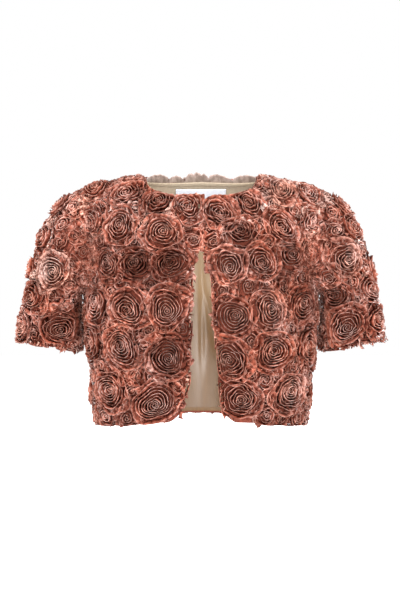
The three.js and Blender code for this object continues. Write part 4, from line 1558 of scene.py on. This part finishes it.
for k, row in enumerate(PETALS):
    piece = sheet_piece(f"neck_petal_{k + 1}_torn", 40, 6, petal(row, k % 2))
    thicken(piece, PETAL_THICK, offset=0.0)
    piece.data.materials.append(PETAL)
    belongs(piece, f"neck_petal_{k + 1}")

# %% [markdown]
# ## Hooks and eyes
#
# Two hooks of bent wire hold the fronts together at the bust. They could be bent again here,
# but the CAD's solids have the wire's true form already. So they stay, and only get the
# dulled finish.

# %% Hooks and eyes
for name in ("eye_upper", "hook_upper", "eye_lower", "hook_lower"):
    node = frame["nodes"][name]
    for slot in node.material_slots:
        slot.material = STEEL
    print(name, "is", STEEL.name)

# %% [markdown]
# ## Stage, light and camera
#
# The photograph has a plain white ground and soft light from the upper left. One large
# light would flatten the ribbon's turns, so a key, a fill and a small front light share the
# work, and two more light the sides and the back. The camera looks level along +Y.

# %% World
WORLD_LIGHT, WORLD_SEEN = 0.42, 1.0  # its strength as light, and as the ground that shows

world = bpy.data.worlds.new("studio")
bpy.context.scene.world = world
world.use_nodes = True
nodes, links = world.node_tree.nodes, world.node_tree.links
nodes["Background"].inputs["Color"].default_value = grey(1)
rays = nodes.new("ShaderNodeLightPath")
strength = nodes.new("ShaderNodeMapRange")
strength.inputs["To Min"].default_value = WORLD_LIGHT
strength.inputs["To Max"].default_value = WORLD_SEEN
links.new(rays.outputs["Is Camera Ray"], strength.inputs["Value"])
links.new(strength.outputs["Result"], nodes["Background"].inputs["Strength"])
print("world:", world.name, "strength", WORLD_LIGHT)

# %% Floor
FLOOR_BELOW, FLOOR_HALF, FLOOR_GLOW = 0.12, 6, 0.8

floor_mesh = bpy.data.meshes.new("floor")
bm = bmesh.new()
bmesh.ops.create_grid(bm, x_segments=1, y_segments=1, size=FLOOR_HALF)
bmesh.ops.translate(bm, vec=(0, 0, cad_box[0][2] - FLOOR_BELOW), verts=bm.verts)
bm.to_mesh(floor_mesh)
bm.free()
floor = collect("floor", floor_mesh)
white_floor, _, _, shader = new_material(
    "white_floor", 0.9, Emission_Color=grey(1), Emission_Strength=FLOOR_GLOW
)
shader.inputs["Base Color"].default_value = grey(0.9)
floor_mesh.materials.append(white_floor)
print("floor at", round(cad_box[0][2] - FLOOR_BELOW, 3), "m")

# %% Lights
LIGHTS = {
    "key": {"place": (-0.8, -1.5, 1.5), "aim": (0, 0, -0.12), "size": 0.5, "power": 78},
    "fill": {"place": (1.4, -1.6, 0.3), "aim": (0, 0, -0.2), "size": 0.8, "power": 18},
    "front": {"place": (0.06, -2.2, -0.12), "aim": (0, 0, -0.2), "size": 0.25, "power": 27},
    "back_left": {"place": (1.6, 1.1, 0.35), "aim": (0, 0, -0.2), "size": 0.8, "power": 75},
    "back_right": {"place": (-1.3, 1.7, 0.3), "aim": (0, 0, -0.2), "size": 0.8, "power": 45},
}


def area_light(name, place, aim, size, power):
    light = bpy.data.lights.new(name, "AREA")
    light.size = size
    light.energy = power
    lamp = bpy.data.objects.new(name, light)
    bpy.context.scene.collection.objects.link(lamp)
    lamp.location = place
    lamp.rotation_euler = (Vector(aim) - Vector(place)).to_track_quat("-Z", "Y").to_euler()


for name, row in LIGHTS.items():
    area_light(name, **row)
print("lights:", list(LIGHTS))

# %% Camera
CAMERA_PLACE, CAMERA_LENS, CAMERA_SENSOR = (-0.0015, -2.325, -0.19), 88, 36

camera = bpy.data.cameras.new("camera")
camera.lens = CAMERA_LENS
camera.sensor_width = CAMERA_SENSOR
view = bpy.data.objects.new("camera", camera)
view.location = CAMERA_PLACE
view.rotation_euler = (math.pi / 2, 0, 0)
bpy.context.scene.collection.objects.link(view)
bpy.context.scene.camera = view
bpy.context.scene.view_settings.view_transform = "Standard"
print("camera:", camera.lens, "mm lens")
